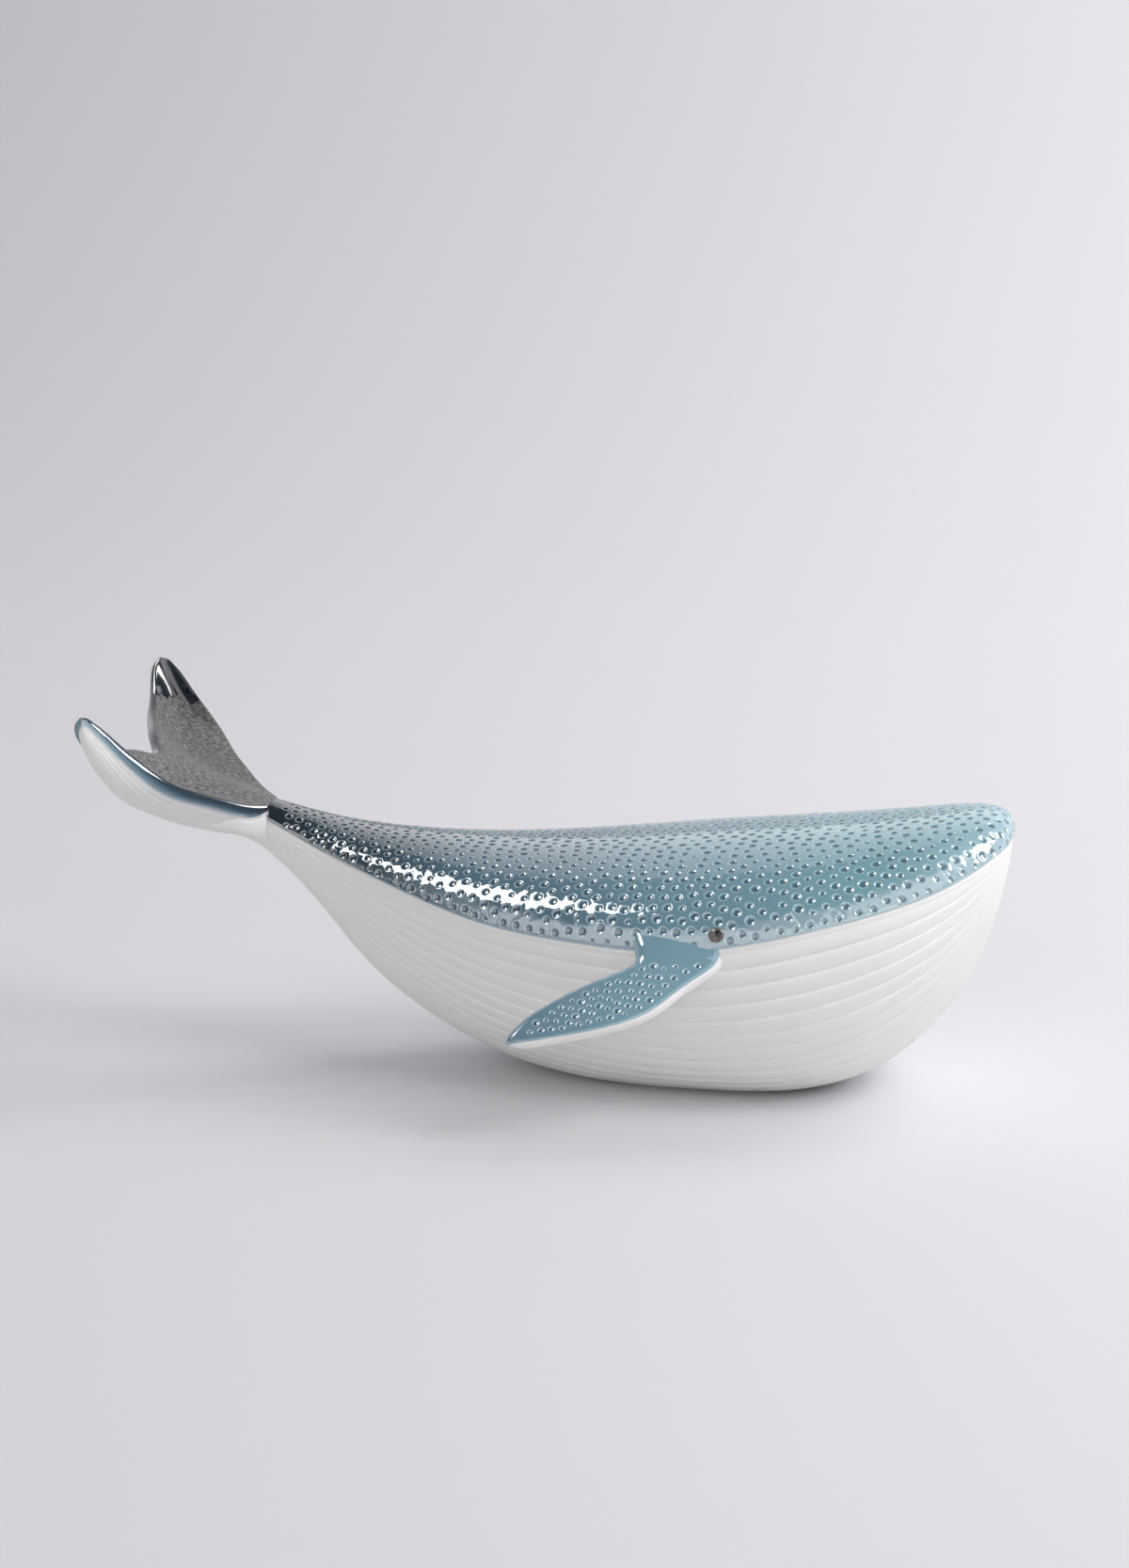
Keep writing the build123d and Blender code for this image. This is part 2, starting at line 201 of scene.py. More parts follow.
# Place along the hull, half width, crown, widest line, keel and glaze line
hull_shares = [
    (0.000, 0.172, 0.936, 0.852, 0.750, 0.896),
    (0.057, 0.239, 0.893, 0.795, 0.604, 0.832),
    (0.129, 0.351, 0.854, 0.733, 0.379, 0.759),
    (0.218, 0.522, 0.830, 0.661, 0.193, 0.689),
    (0.325, 0.716, 0.824, 0.608, 0.059, 0.630),
    (0.450, 0.881, 0.843, 0.583, -0.014, 0.607),
    (0.593, 0.993, 0.881, 0.578, -0.028, 0.613),
    (0.718, 1.000, 0.914, 0.597, -0.013, 0.676),
    (0.825, 0.903, 0.949, 0.645, 0.078, 0.746),
    (0.907, 0.724, 0.985, 0.716, 0.272, 0.809),
    (0.954, 0.522, 1.000, 0.788, 0.478, 0.860),
    (0.981, 0.321, 0.987, 0.855, 0.697, 0.896),
    (0.991, 0.142, 0.955, 0.898, 0.836, 0.908),
    (0.994, 0.040, 0.930, 0.917, 0.902, 0.918),
]
hull_length = nose_reach + tail_reach


def smooth_through(knots, values):
    """A natural cubic through rows of values, one row at each knot."""
    knots, values = np.array(knots, float), np.array(values, float)
    steps = np.diff(knots)
    last = len(knots) - 1
    matrix = np.zeros((last + 1, last + 1))
    right = np.zeros(values.shape)
    matrix[0, 0] = matrix[last, last] = 1
    for k in range(1, last):
        matrix[k, k - 1:k + 2] = steps[k - 1], 2 * (steps[k - 1] + steps[k]), steps[k]
        ahead = (values[k + 1] - values[k]) / steps[k]
        behind = (values[k] - values[k - 1]) / steps[k - 1]
        right[k] = 6 * (ahead - behind)
    bends = np.linalg.solve(matrix, right)

    def at(place):
        place = np.atleast_1d(np.array(place, float))
        k = np.clip(np.searchsorted(knots, place) - 1, 0, last - 1)
        step = steps[k][:, None]
        back = (knots[k + 1] - place)[:, None] / step
        on = 1 - back
        bend = (back ** 3 - back) * bends[k] + (on ** 3 - on) * bends[k + 1]
        return back * values[k] + on * values[k + 1] + bend * step ** 2 / 6

    return at


def chord_knots(rows):
    """Shares of the way from the first row to the last, by the distance between rows."""
    rows = np.array(rows, float)
    gaps = np.linalg.norm(np.diff(rows, axis=0), axis=1)
    return np.concatenate([[0], np.cumsum(gaps)]) / gaps.sum()


hull_rows = [
    (place * hull_length - tail_reach, width * half_beam, crown * back_height,
     widest * back_height, keel * back_height, line * back_height)
    for place, width, crown, widest, keel, line in hull_shares
]
hull_knots = chord_knots(hull_rows)
hull_at = smooth_through(hull_knots, hull_rows)


def upper_points(rows, turn):
    """Points of the upper half: turn 0 is the crown, a quarter turn the widest line."""
    x, width, crown, widest = rows[:, 0], rows[:, 1], rows[:, 2], rows[:, 3]
    power = 2 / back_squareness
    side = width * np.sign(turn) * np.sin(np.abs(turn)) ** power
    rise = widest + (crown - widest) * np.cos(turn) ** power
    return np.stack([x, side, rise], axis=-1)


def upper_turn(rows, height):
    """The turn at which the upper half reaches a height."""
    share = np.clip((height - rows[:, 3]) / (rows[:, 2] - rows[:, 3]), 0, 1)
    return np.arccos(share ** (back_squareness / 2))


def lower_points(rows, turn):
    """Points of the lower half: turn 0 is the widest line, a quarter turn the keel."""
    x, width, widest, keel = rows[:, 0], rows[:, 1], rows[:, 3], rows[:, 4]
    power = 2 / belly_squareness
    side = width * np.cos(turn) ** power
    fall = widest - (widest - keel) * np.sin(turn) ** power
    return np.stack([x, side, fall], axis=-1)


def flank_profile(row, shares):
    """One flank from the edge of the smooth band to the keel, with a groove between pleats."""
    one = row[None, :]
    room = (row[5] - row[3]) * widest_band_share
    start = upper_turn(one, row[5] - min(smooth_band, room))[0]
    turns = np.linspace(start, pi / 2, band_steps)
    above = upper_points(np.repeat(one, band_steps, 0), turns)[:-1]
    turns = np.linspace(0, pi / 2, flank_steps)
    points = np.concatenate([above, lower_points(np.repeat(one, flank_steps, 0), turns)])
    lengths = np.concatenate([[0], np.cumsum(np.linalg.norm(np.diff(points, axis=0), axis=1))])
    wanted = shares * lengths[-1]
    laid = np.stack([np.interp(wanted, lengths, points[:, axis]) for axis in range(3)], axis=-1)
    slope = np.gradient(laid, axis=0)
    slope /= np.linalg.norm(slope, axis=1)[:, None]
    inward = np.stack([np.zeros(len(laid)), slope[:, 2], -slope[:, 1]], axis=-1)
    width = lengths[-1] / pleats_per_side
    depth = min(pleat_depth, width * deepest_pleat_share)
    phase = shares * pleats_per_side % 1
    groove = np.abs(2 * phase - 1) ** groove_sharpness
    groove[0] = 0
    return laid + inward * (depth * groove)[:, None], start


pleat_places = np.array([0, 0.07, 0.2, 0.5, 0.8, 0.93])
pleat_starts = np.arange(pleats_per_side)[:, None]
pleat_shares = np.append(pleat_starts + pleat_places, pleats_per_side) / pleats_per_side


def hull_ring(row, sink):
    """A closed ring round the hull. The back is sunk to make room for the coat."""
    flank, start = flank_profile(row, pleat_shares)
    line_turn = upper_turn(row[None, :], row[5])[0]
    low = row.copy()
    turns = np.linspace(0, start, back_steps + 1)[:-1]
    low[1] -= sink
    low[2] -= sink
    back = upper_points(np.repeat(low[None, :], back_steps, 0), turns)
    edge = upper_points(row[None, :], np.array([(start + line_turn) / 2]))
    half = np.concatenate([back, edge, flank])
    other = half[::-1][1:-1] * np.array([1, -1, 1])
    return np.concatenate([half, other, half[:1]])


def marked(mesh, title, values):
    """A named value, or a place, that each point of a mesh carries for its finish."""
    values = np.array(values, float)
    kind, field = ("FLOAT_VECTOR", "vector") if values.ndim == 3 else ("FLOAT", "value")
    mark = mesh.attributes.new(title, kind, "POINT")
    mark.data.foreach_set(field, values.reshape(-1))


def laid_sheet(name, rings, marks=None):
    """A grid laid over rings of points, with its seam and poles merged and its ends filled."""
    rings = np.array(rings)
    rows, columns = rings.shape[:2]
    bpy.ops.object.select_all(action="DESELECT")
    bpy.ops.mesh.primitive_grid_add(x_subdivisions=columns - 1, y_subdivisions=rows - 1, size=1)
    piece = bpy.context.object
    piece.name = piece.data.name = name
    piece.data.vertices.foreach_set("co", rings.reshape(-1))
    piece.data.update()
    for title, values in (marks or {}).items():
        marked(piece.data, title, values)
    bpy.ops.object.mode_set(mode="EDIT")
    bpy.ops.mesh.select_all(action="SELECT")
    bpy.ops.mesh.remove_doubles(threshold=weld_distance)
    bpy.ops.mesh.fill_holes(sides=0)
    bpy.ops.mesh.select_all(action="SELECT")
    bpy.ops.mesh.normals_make_consistent(inside=False)
    bpy.ops.object.mode_set(mode="OBJECT")
    bpy.ops.object.shade_smooth_by_angle(angle=cut_angle)
    return piece


def sliced(piece, place, outward):
    """A piece cut off flat at a plane and closed there. The side that outward points to stays."""
    bpy.ops.object.select_all(action="DESELECT")
    bpy.context.view_layer.objects.active = piece
    piece.select_set(True)
    bpy.ops.object.mode_set(mode="EDIT")
    bpy.ops.mesh.select_all(action="SELECT")
    bpy.ops.mesh.bisect(
        plane_co=place, plane_no=outward, use_fill=True, clear_inner=True,
        threshold=weld_distance,
    )
    bpy.ops.object.mode_set(mode="OBJECT")
    bpy.ops.object.shade_smooth_by_angle(angle=cut_angle)


def combined(piece, tool, kind):
    """A piece with a second one joined to it or cut out of it."""
    step = piece.modifiers.new(kind.lower(), "BOOLEAN")
    step.operation = kind
    step.solver = "EXACT"
    step.object = tool
    bpy.ops.object.select_all(action="DESELECT")
    bpy.context.view_layer.objects.active = piece
    piece.select_set(True)
    bpy.ops.object.modifier_apply(modifier=step.name)
    bpy.data.objects.remove(tool)
    bpy.ops.object.shade_smooth_by_angle(angle=cut_angle)


def cavity_ring(row):
    """A closed ring round the hollow inside the casting, a wall's thickness in."""
    inner = row.copy()
    inner[1] -= casting_wall
    inner[2] -= casting_wall + coat_room
    inner[4] += casting_wall
    turns = np.linspace(0, pi / 2, cavity_turn_steps)
    many = np.repeat(inner[None, :], cavity_turn_steps, 0)
    half = np.concatenate([upper_points(many, turns), lower_points(many, turns)[1:]])
    other = half[::-1][1:-1] * np.array([1, -1, 1])
    return np.concatenate([half, other, half[:1]])


body_rows = hull_at(np.linspace(0, 1, hull_steps))
body = laid_sheet("porcelain_body", [hull_ring(row, coat_room) for row in body_rows])
sliced(body, (0, 0, 0), (0, 0, 1))
cavity_rows = hull_at(np.linspace(*cavity_ends, cavity_steps))
cavity = laid_sheet("cavity", [cavity_ring(row) for row in cavity_rows])
sliced(cavity, (0, 0, casting_wall), (0, 0, 1))
combined(body, cavity, "DIFFERENCE")
bpy.ops.object.select_all(action="DESELECT")
bpy.ops.mesh.primitive_cylinder_add(
    vertices=48, radius=vent_radius, depth=casting_wall * 4, location=(vent_reach, 0, 0),
)
combined(body, bpy.context.object, "DIFFERENCE")
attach(body, "root")
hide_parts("body")

clay_white = (0.89, 0.885, 0.88, 1)
clay_warm = (0.865, 0.85, 0.835, 1)
stain_blue = (0.20, 0.31, 0.39, 1)
clay_grain = 0.00004


def attribute(nodes, name, output="Fac"):
    """A value that the mesh carries."""
    node = nodes.new("ShaderNodeAttribute")
    node.attribute_name = name
    return node.outputs[output]


def noise(nodes, links, place, scale, detail, roughness=0.5):
    """A noise of a given fineness."""
    texture = nodes.new("ShaderNodeTexNoise")
    texture.inputs["Scale"].default_value = scale
    texture.inputs["Detail"].default_value = detail
    texture.inputs["Roughness"].default_value = roughness
    links.new(place, texture.inputs["Vector"])
    return texture.outputs["Fac"]


def fitted(nodes, links, value, low, high, to_low, to_high):
    """A value carried from one range to another."""
    fit = nodes.new("ShaderNodeMapRange")
    ends = {"From Min": low, "From Max": high, "To Min": to_low, "To Max": to_high}
    for socket, number in ends.items():
        fit.inputs[socket].default_value = number
    links.new(value, fit.inputs["Value"])
    return fit.outputs["Result"]


def blended(nodes, links, share, one, two, kind="MIX"):
    """Two colours mixed by a share."""
    mix = nodes.new("ShaderNodeMix")
    mix.data_type = "RGBA"
    mix.blend_type = kind
    for socket, part in ((mix.inputs[0], share), (mix.inputs[6], one), (mix.inputs[7], two)):
        if isinstance(part, bpy.types.NodeSocket):
            links.new(part, socket)
        else:
            socket.default_value = part
    return mix.outputs[2]


def bumped(nodes, links, shader, height, distance, strength):
    """A height that roughens the surface a little."""
    bump = nodes.new("ShaderNodeBump")
    bump.inputs["Distance"].default_value = distance
    bump.inputs["Strength"].default_value = strength
    links.new(height, bump.inputs["Height"])
    links.new(bump.outputs["Normal"], shader.inputs["Normal"])


def bisque_porcelain(name, stain=None):
    """White fired clay, sanded smooth, with a fine grain and a faint warm clouding. The
    stain is the blue that the glass leaves where it thins out over the rim."""
    clay = bpy.data.materials.new(name)
    clay.use_nodes = True
    nodes, links = clay.node_tree.nodes, clay.node_tree.links
    shader = nodes["Principled BSDF"]
    shader.inputs["Specular IOR Level"].default_value = 0.35
    place = nodes.new("ShaderNodeTexCoord").outputs["Object"]
    cloud = fitted(nodes, links, noise(nodes, links, place, 22, 3), 0.3, 0.7, 0, 1)
    tone = blended(nodes, links, cloud, clay_warm, clay_white)
    if stain:
        share = fitted(nodes, links, attribute(nodes, stain), 0, 1, 0, 0.95)
        tone = blended(nodes, links, share, tone, stain_blue)
    links.new(tone, shader.inputs["Base Color"])
    rough = fitted(nodes, links, noise(nodes, links, place, 300, 2), 0.3, 0.7, 0.5, 0.62)
    links.new(rough, shader.inputs["Roughness"])
    bumped(nodes, links, shader, noise(nodes, links, place, 2600, 3, 0.6), clay_grain, 0.5)
    return clay


bisque = bisque_porcelain("bisque_porcelain")
body.data.materials.append(bisque)

# The coat on the back: blue glass poured and fired over some twelve hundred round pits that
# were pressed into the clay by hand. The glass runs off the lips of the pits, where it is
# thin and pale, and pools dark in their cores. It ends in a low rounded step.
coat_thickness = 0.0006
coat_edge = 0.0012
coat_body = 0.0016
rim_point_gap = 0.0032
edge_round_in = 0.0004
edge_round_fall = 0.0001
edge_clay_share = 0.65
edge_buried = 0.0004
smooth_neck = 0.006
band_width = 0.011
pit_spacing = 0.0047
tail_pit_spacing = 0.0036
tail_pits_share = 0.7
pit_radius = 0.00265
pit_depth = 0.0006
pit_sizes = {1.0: 0.5, 0.88: 0.35, 0.7: 0.15}
shallow_share = 0.35
pit_seed = 11
pit_tries = 26000
pit_rounds = 14
pit_rim_room = (0.5, 0.62)
closest_pits = 0.84
pit_push_reach = 1.25
pit_push_share = 0.3
sheet_margin = 0.001
off_the_ends = (0.0005, 0.9995)
eye_clearance = 0.0024


def coat_points(place, across, lift=coat_thickness):
    """Points of the coat: place runs from the tail to the snout, across from line to line."""
    rows = hull_at(place)
    rows[:, 1] += lift
    rows[:, 2] += lift
    rows[:, 0] *= np.where(rows[:, 0] > 0, 1 + lift / nose_reach, 1)
    start = upper_turn(rows, rows[:, 5])
    return upper_points(rows, across * start)


def slopes(surface, place, across):
    """The two tangents and the outward normal of a surface."""
    step = 1e-4
    low, high = np.clip(place - step, 0, 1), np.clip(place + step, 0, 1)
    along = (surface(high, across) - surface(low, across)) / (high - low)[:, None]
    aside = (surface(place, across + step) - surface(place, across - step)) / (2 * step)
    normal = np.cross(along, aside)
    normal /= np.linalg.norm(normal, axis=1)[:, None]
    return along, aside, normal


def slid(surface, place, across, shift):
    """Places moved over a surface by a small shift in space."""
    along, aside, normal = slopes(surface, place, across)
    aa = (along * along).sum(1)
    bb = (aside * aside).sum(1)
    ab = (along * aside).sum(1)
    ra = (along * shift).sum(1)
    rb = (aside * shift).sum(1)
    scale = aa * bb - ab * ab
    return place + (ra * bb - rb * ab) / scale, across + (rb * aa - ra * ab) / scale


sheet_corners = [(0, -1), (1, -1), (1, 1), (0, 1)]
side_steps = 200


def border_walk(surface, spacing, sides):
    """Evenly spaced places round the rim of a sheet, counted from its first corner."""
    places, acrosses = [], []
    for (place_a, across_a), (place_b, across_b) in zip(sides, sides[1:] + sides[:1]):
        share = np.linspace(0, 1, side_steps)
        place = place_a + (place_b - place_a) * share
        across = across_a + (across_b - across_a) * share
        points = surface(place, across)
        run = np.concatenate([[0], np.cumsum(np.linalg.norm(np.diff(points, axis=0), axis=1))])
        count = max(1, int(round(run[-1] / spacing)))
        wanted = np.linspace(0, run[-1], count + 1)[:-1]
        places.append(np.interp(wanted, run, place))
        acrosses.append(np.interp(wanted, run, across))
    return np.concatenate(places), np.concatenate(acrosses)


def inward_of(surface, place, across):
    """Unit directions over the surface, square to its rim and away from it."""
    points = surface(place, across)
    normal = slopes(surface, place, across)[2]
    tangent = np.roll(points, -1, axis=0) - np.roll(points, 1, axis=0)
    inward = np.cross(normal, tangent)
    inward /= np.linalg.norm(inward, axis=1)[:, None]
    middle = points.mean(axis=0)
    if (inward * (middle - points)).sum() < 0:
        inward = -inward
    return inward


def pressed_places(surface, spacing_at, rim_points, rim_room, tries, rounds, seed):
    """Places pressed at random, none too near another or the rim, and then evened out."""
    draw = np.random.default_rng(seed)
    place, across = draw.random(tries), draw.random(tries) * 2 - 1
    points = surface(place, across)
    spacing = spacing_at(points)
    kept = []
    for k in range(tries):
        if np.linalg.norm(rim_points - points[k], axis=1).min() < rim_room[0] * spacing[k]:
            continue
        if kept and np.linalg.norm(points[kept] - points[k], axis=1).min() < closest_pits * spacing[k]:
            continue
        kept.append(k)
    place, across = place[kept], across[kept]
    for _ in range(rounds):
        points = surface(place, across)
        spacing = spacing_at(points)
        gap = points[:, None, :] - points[None, :, :]
        far = np.linalg.norm(gap, axis=2) + np.eye(len(points))
        reach = spacing[:, None] * pit_push_reach
        push = np.clip(reach - far, 0, None) / reach
        shift = (gap / far[:, :, None] * push[:, :, None]).sum(axis=1) * spacing[:, None]
        rim_gap = points[:, None, :] - rim_points[None, :, :]
        rim_far = np.linalg.norm(rim_gap, axis=2)
        near = rim_far.argmin(axis=1)
        index = np.arange(len(points))
        near_gap, near_far = rim_gap[index, near], rim_far[index, near]
        lacking = np.clip(rim_room[1] * spacing - near_far, 0, None)
        shift = shift * pit_push_share + near_gap / near_far[:, None] * lacking[:, None]
        place, across = slid(surface, place, across, shift)
        place = np.clip(place, sheet_margin, 1 - sheet_margin)
        across = np.clip(across, sheet_margin - 1, 1 - sheet_margin)
    return place, across


triangles_inside = 1
same_spot = 1e-9


def sheet_triangles(flat, rim_count):
    """Triangles between places on a flat map, inside the ring of the first ones."""
    ring = list(range(rim_count))
    spots = [Vector(point) for point in flat]
    made = geometry.delaunay_2d_cdt(spots, [], [ring], triangles_inside, same_spot)
    source = {k: olds[0] for k, olds in enumerate(made[3])}
    return [[source[k] for k in face] for face in made[2]]


def evened_triangles(points, triangles):
    """The same triangles with edges turned where that gives better shapes in space."""
    bm = bmesh.new()
    for point in points:
        bm.verts.new(point)
    bm.verts.ensure_lookup_table()
    for triangle in triangles:
        bm.faces.new([bm.verts[k] for k in triangle])
    inner = [edge for edge in bm.edges if len(edge.link_faces) == 2]
    bmesh.ops.beautify_fill(bm, faces=bm.faces, edges=inner, method="ANGLE")
    bm.verts.index_update()
    turned = [[vertex.index for vertex in face.verts] for face in bm.faces]
    bm.free()
    return turned


# Share of a pit's radius, share of its depth and the pooling of the glass, from the plain
# glass round it over its lip to its core. The coat's own rim has almost no pooling.
level_pool = 0.5
rim_pool = 0.02
pit_rings = ((1.0, 0.0, level_pool), (0.84, -0.04, 0.0), (0.50, 1.0, 1.0))
lip_crease = 0.5


def pitted_sheet(name, points, normals, radii, depths, triangles, rim_count, steps, under):
    """A coat with pits round its inner places, a stepped rim and a closed underside."""
    vertices, pooling, faces, lips = [], [], [], set()

    def vertex(point, pool):
        vertices.append(tuple(point))
        pooling.append(pool)
        return len(vertices) - 1

    near = {}
    for a, b, c in triangles:
        for one, two in ((a, b), (b, c), (c, a)):
            near.setdefault(one, set()).add(two)
            near.setdefault(two, set()).add(one)
    corner = {}
    for k, point in enumerate(points):
        if radii[k] == 0:
            whole = vertex(point, level_pool)
            for other in near.get(k, ()):
                corner[k, other] = whole
            corner[k, k] = whole
            continue
        normal = normals[k]
        others = list(near[k])
        first = points[others[0]] - point
        east = first - normal * first.dot(normal)
        east /= np.linalg.norm(east)
        north = np.cross(normal, east)
        gaps = [points[other] - point for other in others]
        angles = [atan2(gap.dot(north), gap.dot(east)) % (2 * pi) for gap in gaps]
        order = sorted(range(len(others)), key=lambda m: angles[m])
        count = len(order)
        turns = [angles[order[m]] - 2 * pi * m / count for m in range(count)]
        offset = atan2(sum(sin(turn) for turn in turns), sum(cos(turn) for turn in turns))
        rings = []
        for share, fall, pool in pit_rings:
            ring = []
            for m in range(count):
                other = others[order[m]]
                gap = points[other] - point
                length = np.linalg.norm(gap)
                bend = (normals[other] - normal).dot(gap) / length ** 2
                angle = offset + 2 * pi * m / count
                reach = radii[k] * share
                spot = point + east * (cos(angle) * reach) + north * (sin(angle) * reach)
                spot = spot - normal * (bend * reach ** 2 / 2 + depths[k] * fall)
                ring.append(vertex(spot, pool))
                if fall < 0:
                    lips.add(ring[-1])
                if share == 1:
                    corner[k, other] = ring[-1]
            rings.append(ring)
        for outer, inner in zip(rings, rings[1:]):
            for m in range(count):
                n = (m + 1) % count
                faces.append((outer[m], outer[n], inner[n], inner[m]))
        faces.append(tuple(rings[-1]))
    for a, b, c in triangles:
        walk = [corner[pair] for pair in ((a, b), (b, a), (b, c), (c, b), (c, a), (a, c))]
        faces.append(tuple(spot for m, spot in enumerate(walk) if spot != walk[m - 1]))
    before = [corner[k, k] for k in range(rim_count)]
    for step in steps:
        after = [vertex(point, rim_pool) for point in step]
        for m in range(rim_count):
            n = (m + 1) % rim_count
            faces.append((before[n], before[m], after[m], after[n]))
        before = after
    inner = {k: before[k] for k in range(rim_count)}
    for k in range(rim_count, len(points)):
        inner[k] = vertex(under[k], level_pool)
    for a, b, c in triangles:
        faces.append((inner[c], inner[b], inner[a]))
    mesh = bpy.data.meshes.new(name)
    mesh.from_pydata(vertices, [], faces)
    marked(mesh, "pooling", pooling)
    creases = [lip_crease * (set(edge.vertices) <= lips) for edge in mesh.edges]
    mesh.attributes.new("crease_edge", "FLOAT", "EDGE").data.foreach_set("value", creases)
    piece = bpy.data.objects.new(name, mesh)
    bpy.context.scene.collection.objects.link(piece)
    bpy.ops.object.select_all(action="DESELECT")
    bpy.context.view_layer.objects.active = piece
    piece.select_set(True)
    bpy.ops.object.mode_set(mode="EDIT")
    bpy.ops.mesh.select_all(action="SELECT")
    bpy.ops.mesh.normals_make_consistent(inside=False)
    bpy.ops.object.mode_set(mode="OBJECT")
    smooth = piece.modifiers.new("round_pits", "SUBSURF")
    smooth.levels = smooth.render_levels = 1
    bpy.ops.object.modifier_apply(modifier=smooth.name)
    bpy.ops.object.shade_smooth()
    return piece


def back_spacing(points):
    """Pits stand closer on the narrow tail."""
    share = np.clip((points[:, 0] + tail_reach) / (tail_reach * tail_pits_share), 0, 1)
    return tail_pit_spacing + (pit_spacing - tail_pit_spacing) * share


rim_walk = border_walk(coat_points, rim_point_gap, sheet_corners)
rim_inward = inward_of(coat_points, *rim_walk)
rim_in = slid(coat_points, *rim_walk, rim_inward * coat_edge)
rim_in = (np.clip(rim_in[0], 0, 1), np.clip(rim_in[1], -1, 1))
at_joint = rim_walk[0] == 0
rim_in[0][at_joint] = 0
rim_count = len(rim_in[0])
eye_middle = np.array(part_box("right_eye")).mean(axis=0)
eye_guard = []
for side in (1, -1):
    for turn in np.linspace(0, 2 * pi, 9)[1:]:
        along, up = cos(turn) * eye_clearance, sin(turn) * eye_clearance
        eye_guard.append((eye_middle[0] + along, side * eye_middle[1], eye_middle[2] + up))
kept_clear = np.concatenate([coat_points(*rim_walk), eye_guard])
pits = pressed_places(
    coat_points, back_spacing, kept_clear, pit_rim_room, pit_tries, pit_rounds, pit_seed,
)
back_place = np.concatenate([rim_in[0], pits[0]])
back_across = np.concatenate([rim_in[1], pits[1]])
back_points = coat_points(back_place, back_across)
back_normals = slopes(coat_points, np.clip(back_place, *off_the_ends), back_across)[2]
if back_normals[:, 2].mean() < 0:
    back_normals = -back_normals


def flat_map(place, across, stations=400, arc_steps=39):
    """Places unrolled to a flat map: along the crown, and over the arc of each section."""
    fine = np.linspace(0, 1, stations)
    crown = coat_points(fine, np.zeros(stations))
    along = np.concatenate([[0], np.cumsum(np.linalg.norm(np.diff(crown, axis=0), axis=1))])
    arcs = np.zeros(stations)
    for share in np.linspace(0, 1, arc_steps + 1)[1:]:
        one = coat_points(fine, np.full(stations, share))
        two = coat_points(fine, np.full(stations, share - 1 / arc_steps))
        arcs += np.linalg.norm(one - two, axis=1)
    return np.stack([np.interp(place, fine, along), across * np.interp(place, fine, arcs)], axis=-1)


back_triangles = evened_triangles(
    back_points,
    sheet_triangles(flat_map(back_place, back_across), rim_count),
)
size_draw = np.random.default_rng(pit_seed + 1)
sizes = size_draw.choice(list(pit_sizes), len(back_place), p=list(pit_sizes.values()))
back_radii = pit_radius * sizes * back_spacing(back_points) / pit_spacing
back_radii[:rim_count] = 0
back_radii[back_points[:, 0] < smooth_neck - tail_reach] = 0
back_depths = pit_depth * back_spacing(back_points) / pit_spacing
back_depths *= shallow_share + (1 - shallow_share) * sizes
rim_low = coat_points(*rim_walk, lift=0)
rim_shoulder = coat_points(*slid(coat_points, *rim_walk, rim_inward * edge_round_in))
rim_steps = [
    rim_shoulder - back_normals[:rim_count] * edge_round_fall,
    coat_points(*rim_walk) * (1 - edge_clay_share) + rim_low * edge_clay_share,
    rim_low - back_normals[:rim_count] * edge_buried,
]
back_under = back_points - back_normals * coat_body
back_glaze = pitted_sheet(
    "back_glaze_coat", back_points, back_normals, back_radii, back_depths,
    back_triangles, rim_count, rim_steps, back_under,
)


def distances(mesh, places):
    """How far each point of a mesh is from the nearest of some places."""
    tree = kdtree.KDTree(len(places))
    for k, place in enumerate(places):
        tree.insert(place, k)
    tree.balance()
    return np.array([tree.find(vertex.co)[2] for vertex in mesh.vertices])


# Nearness to the coat's lower line, which the glass uses for a painted pale reflection there.
from_line = distances(back_glaze.data, rim_low)
marked(back_glaze.data, "near_line", 1 - np.minimum(from_line / band_width, 1))
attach(back_glaze, "root")
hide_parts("back_glaze")

# The blue along the back, from the tail to the snout, and where the painted pale reflection
# # along the coat's lower line fades in behind the tail
blue_stops = [
    (0.0, (0.010, 0.019, 0.030)),
    (0.12, (0.033, 0.064, 0.092)),
    (0.35, (0.112, 0.197, 0.257)),
    (0.6, (0.182, 0.322, 0.393)),
    (0.82, (0.210, 0.400, 0.458)),
    (1.0, (0.38, 0.58, 0.64)),
]
lip_blue = (0.62, 0.76, 0.80, 1)
# Pale blue-grey painted along the coat's lower line as a reflection.
painted_line_reflection = (0.56, 0.64, 0.70, 1)
core_shade = (0.28, 0.36, 0.42, 1)
cloud_shade = (0.75, 0.85, 0.9, 1)
painted_reflection_fade = (-0.13, -0.06)
glass_index = 1.58
glass_ripple = 0.0002


def worked(nodes, links, kind, one, two):
    """The sum, the product or the larger of two values."""
    node = nodes.new("ShaderNodeMath")
    node.operation = kind
    links.new(one, node.inputs[0])
    links.new(two, node.inputs[1])
    return node.outputs[0]


def coloured(ramp, stops):
    """Sets the colours of a ramp at their positions."""
    elements = ramp.color_ramp.elements
    while len(elements) < len(stops):
        elements.new(0.5)
    for element, (position, colour) in zip(elements, stops):
        element.position = position
        element.color = (*colour, 1)


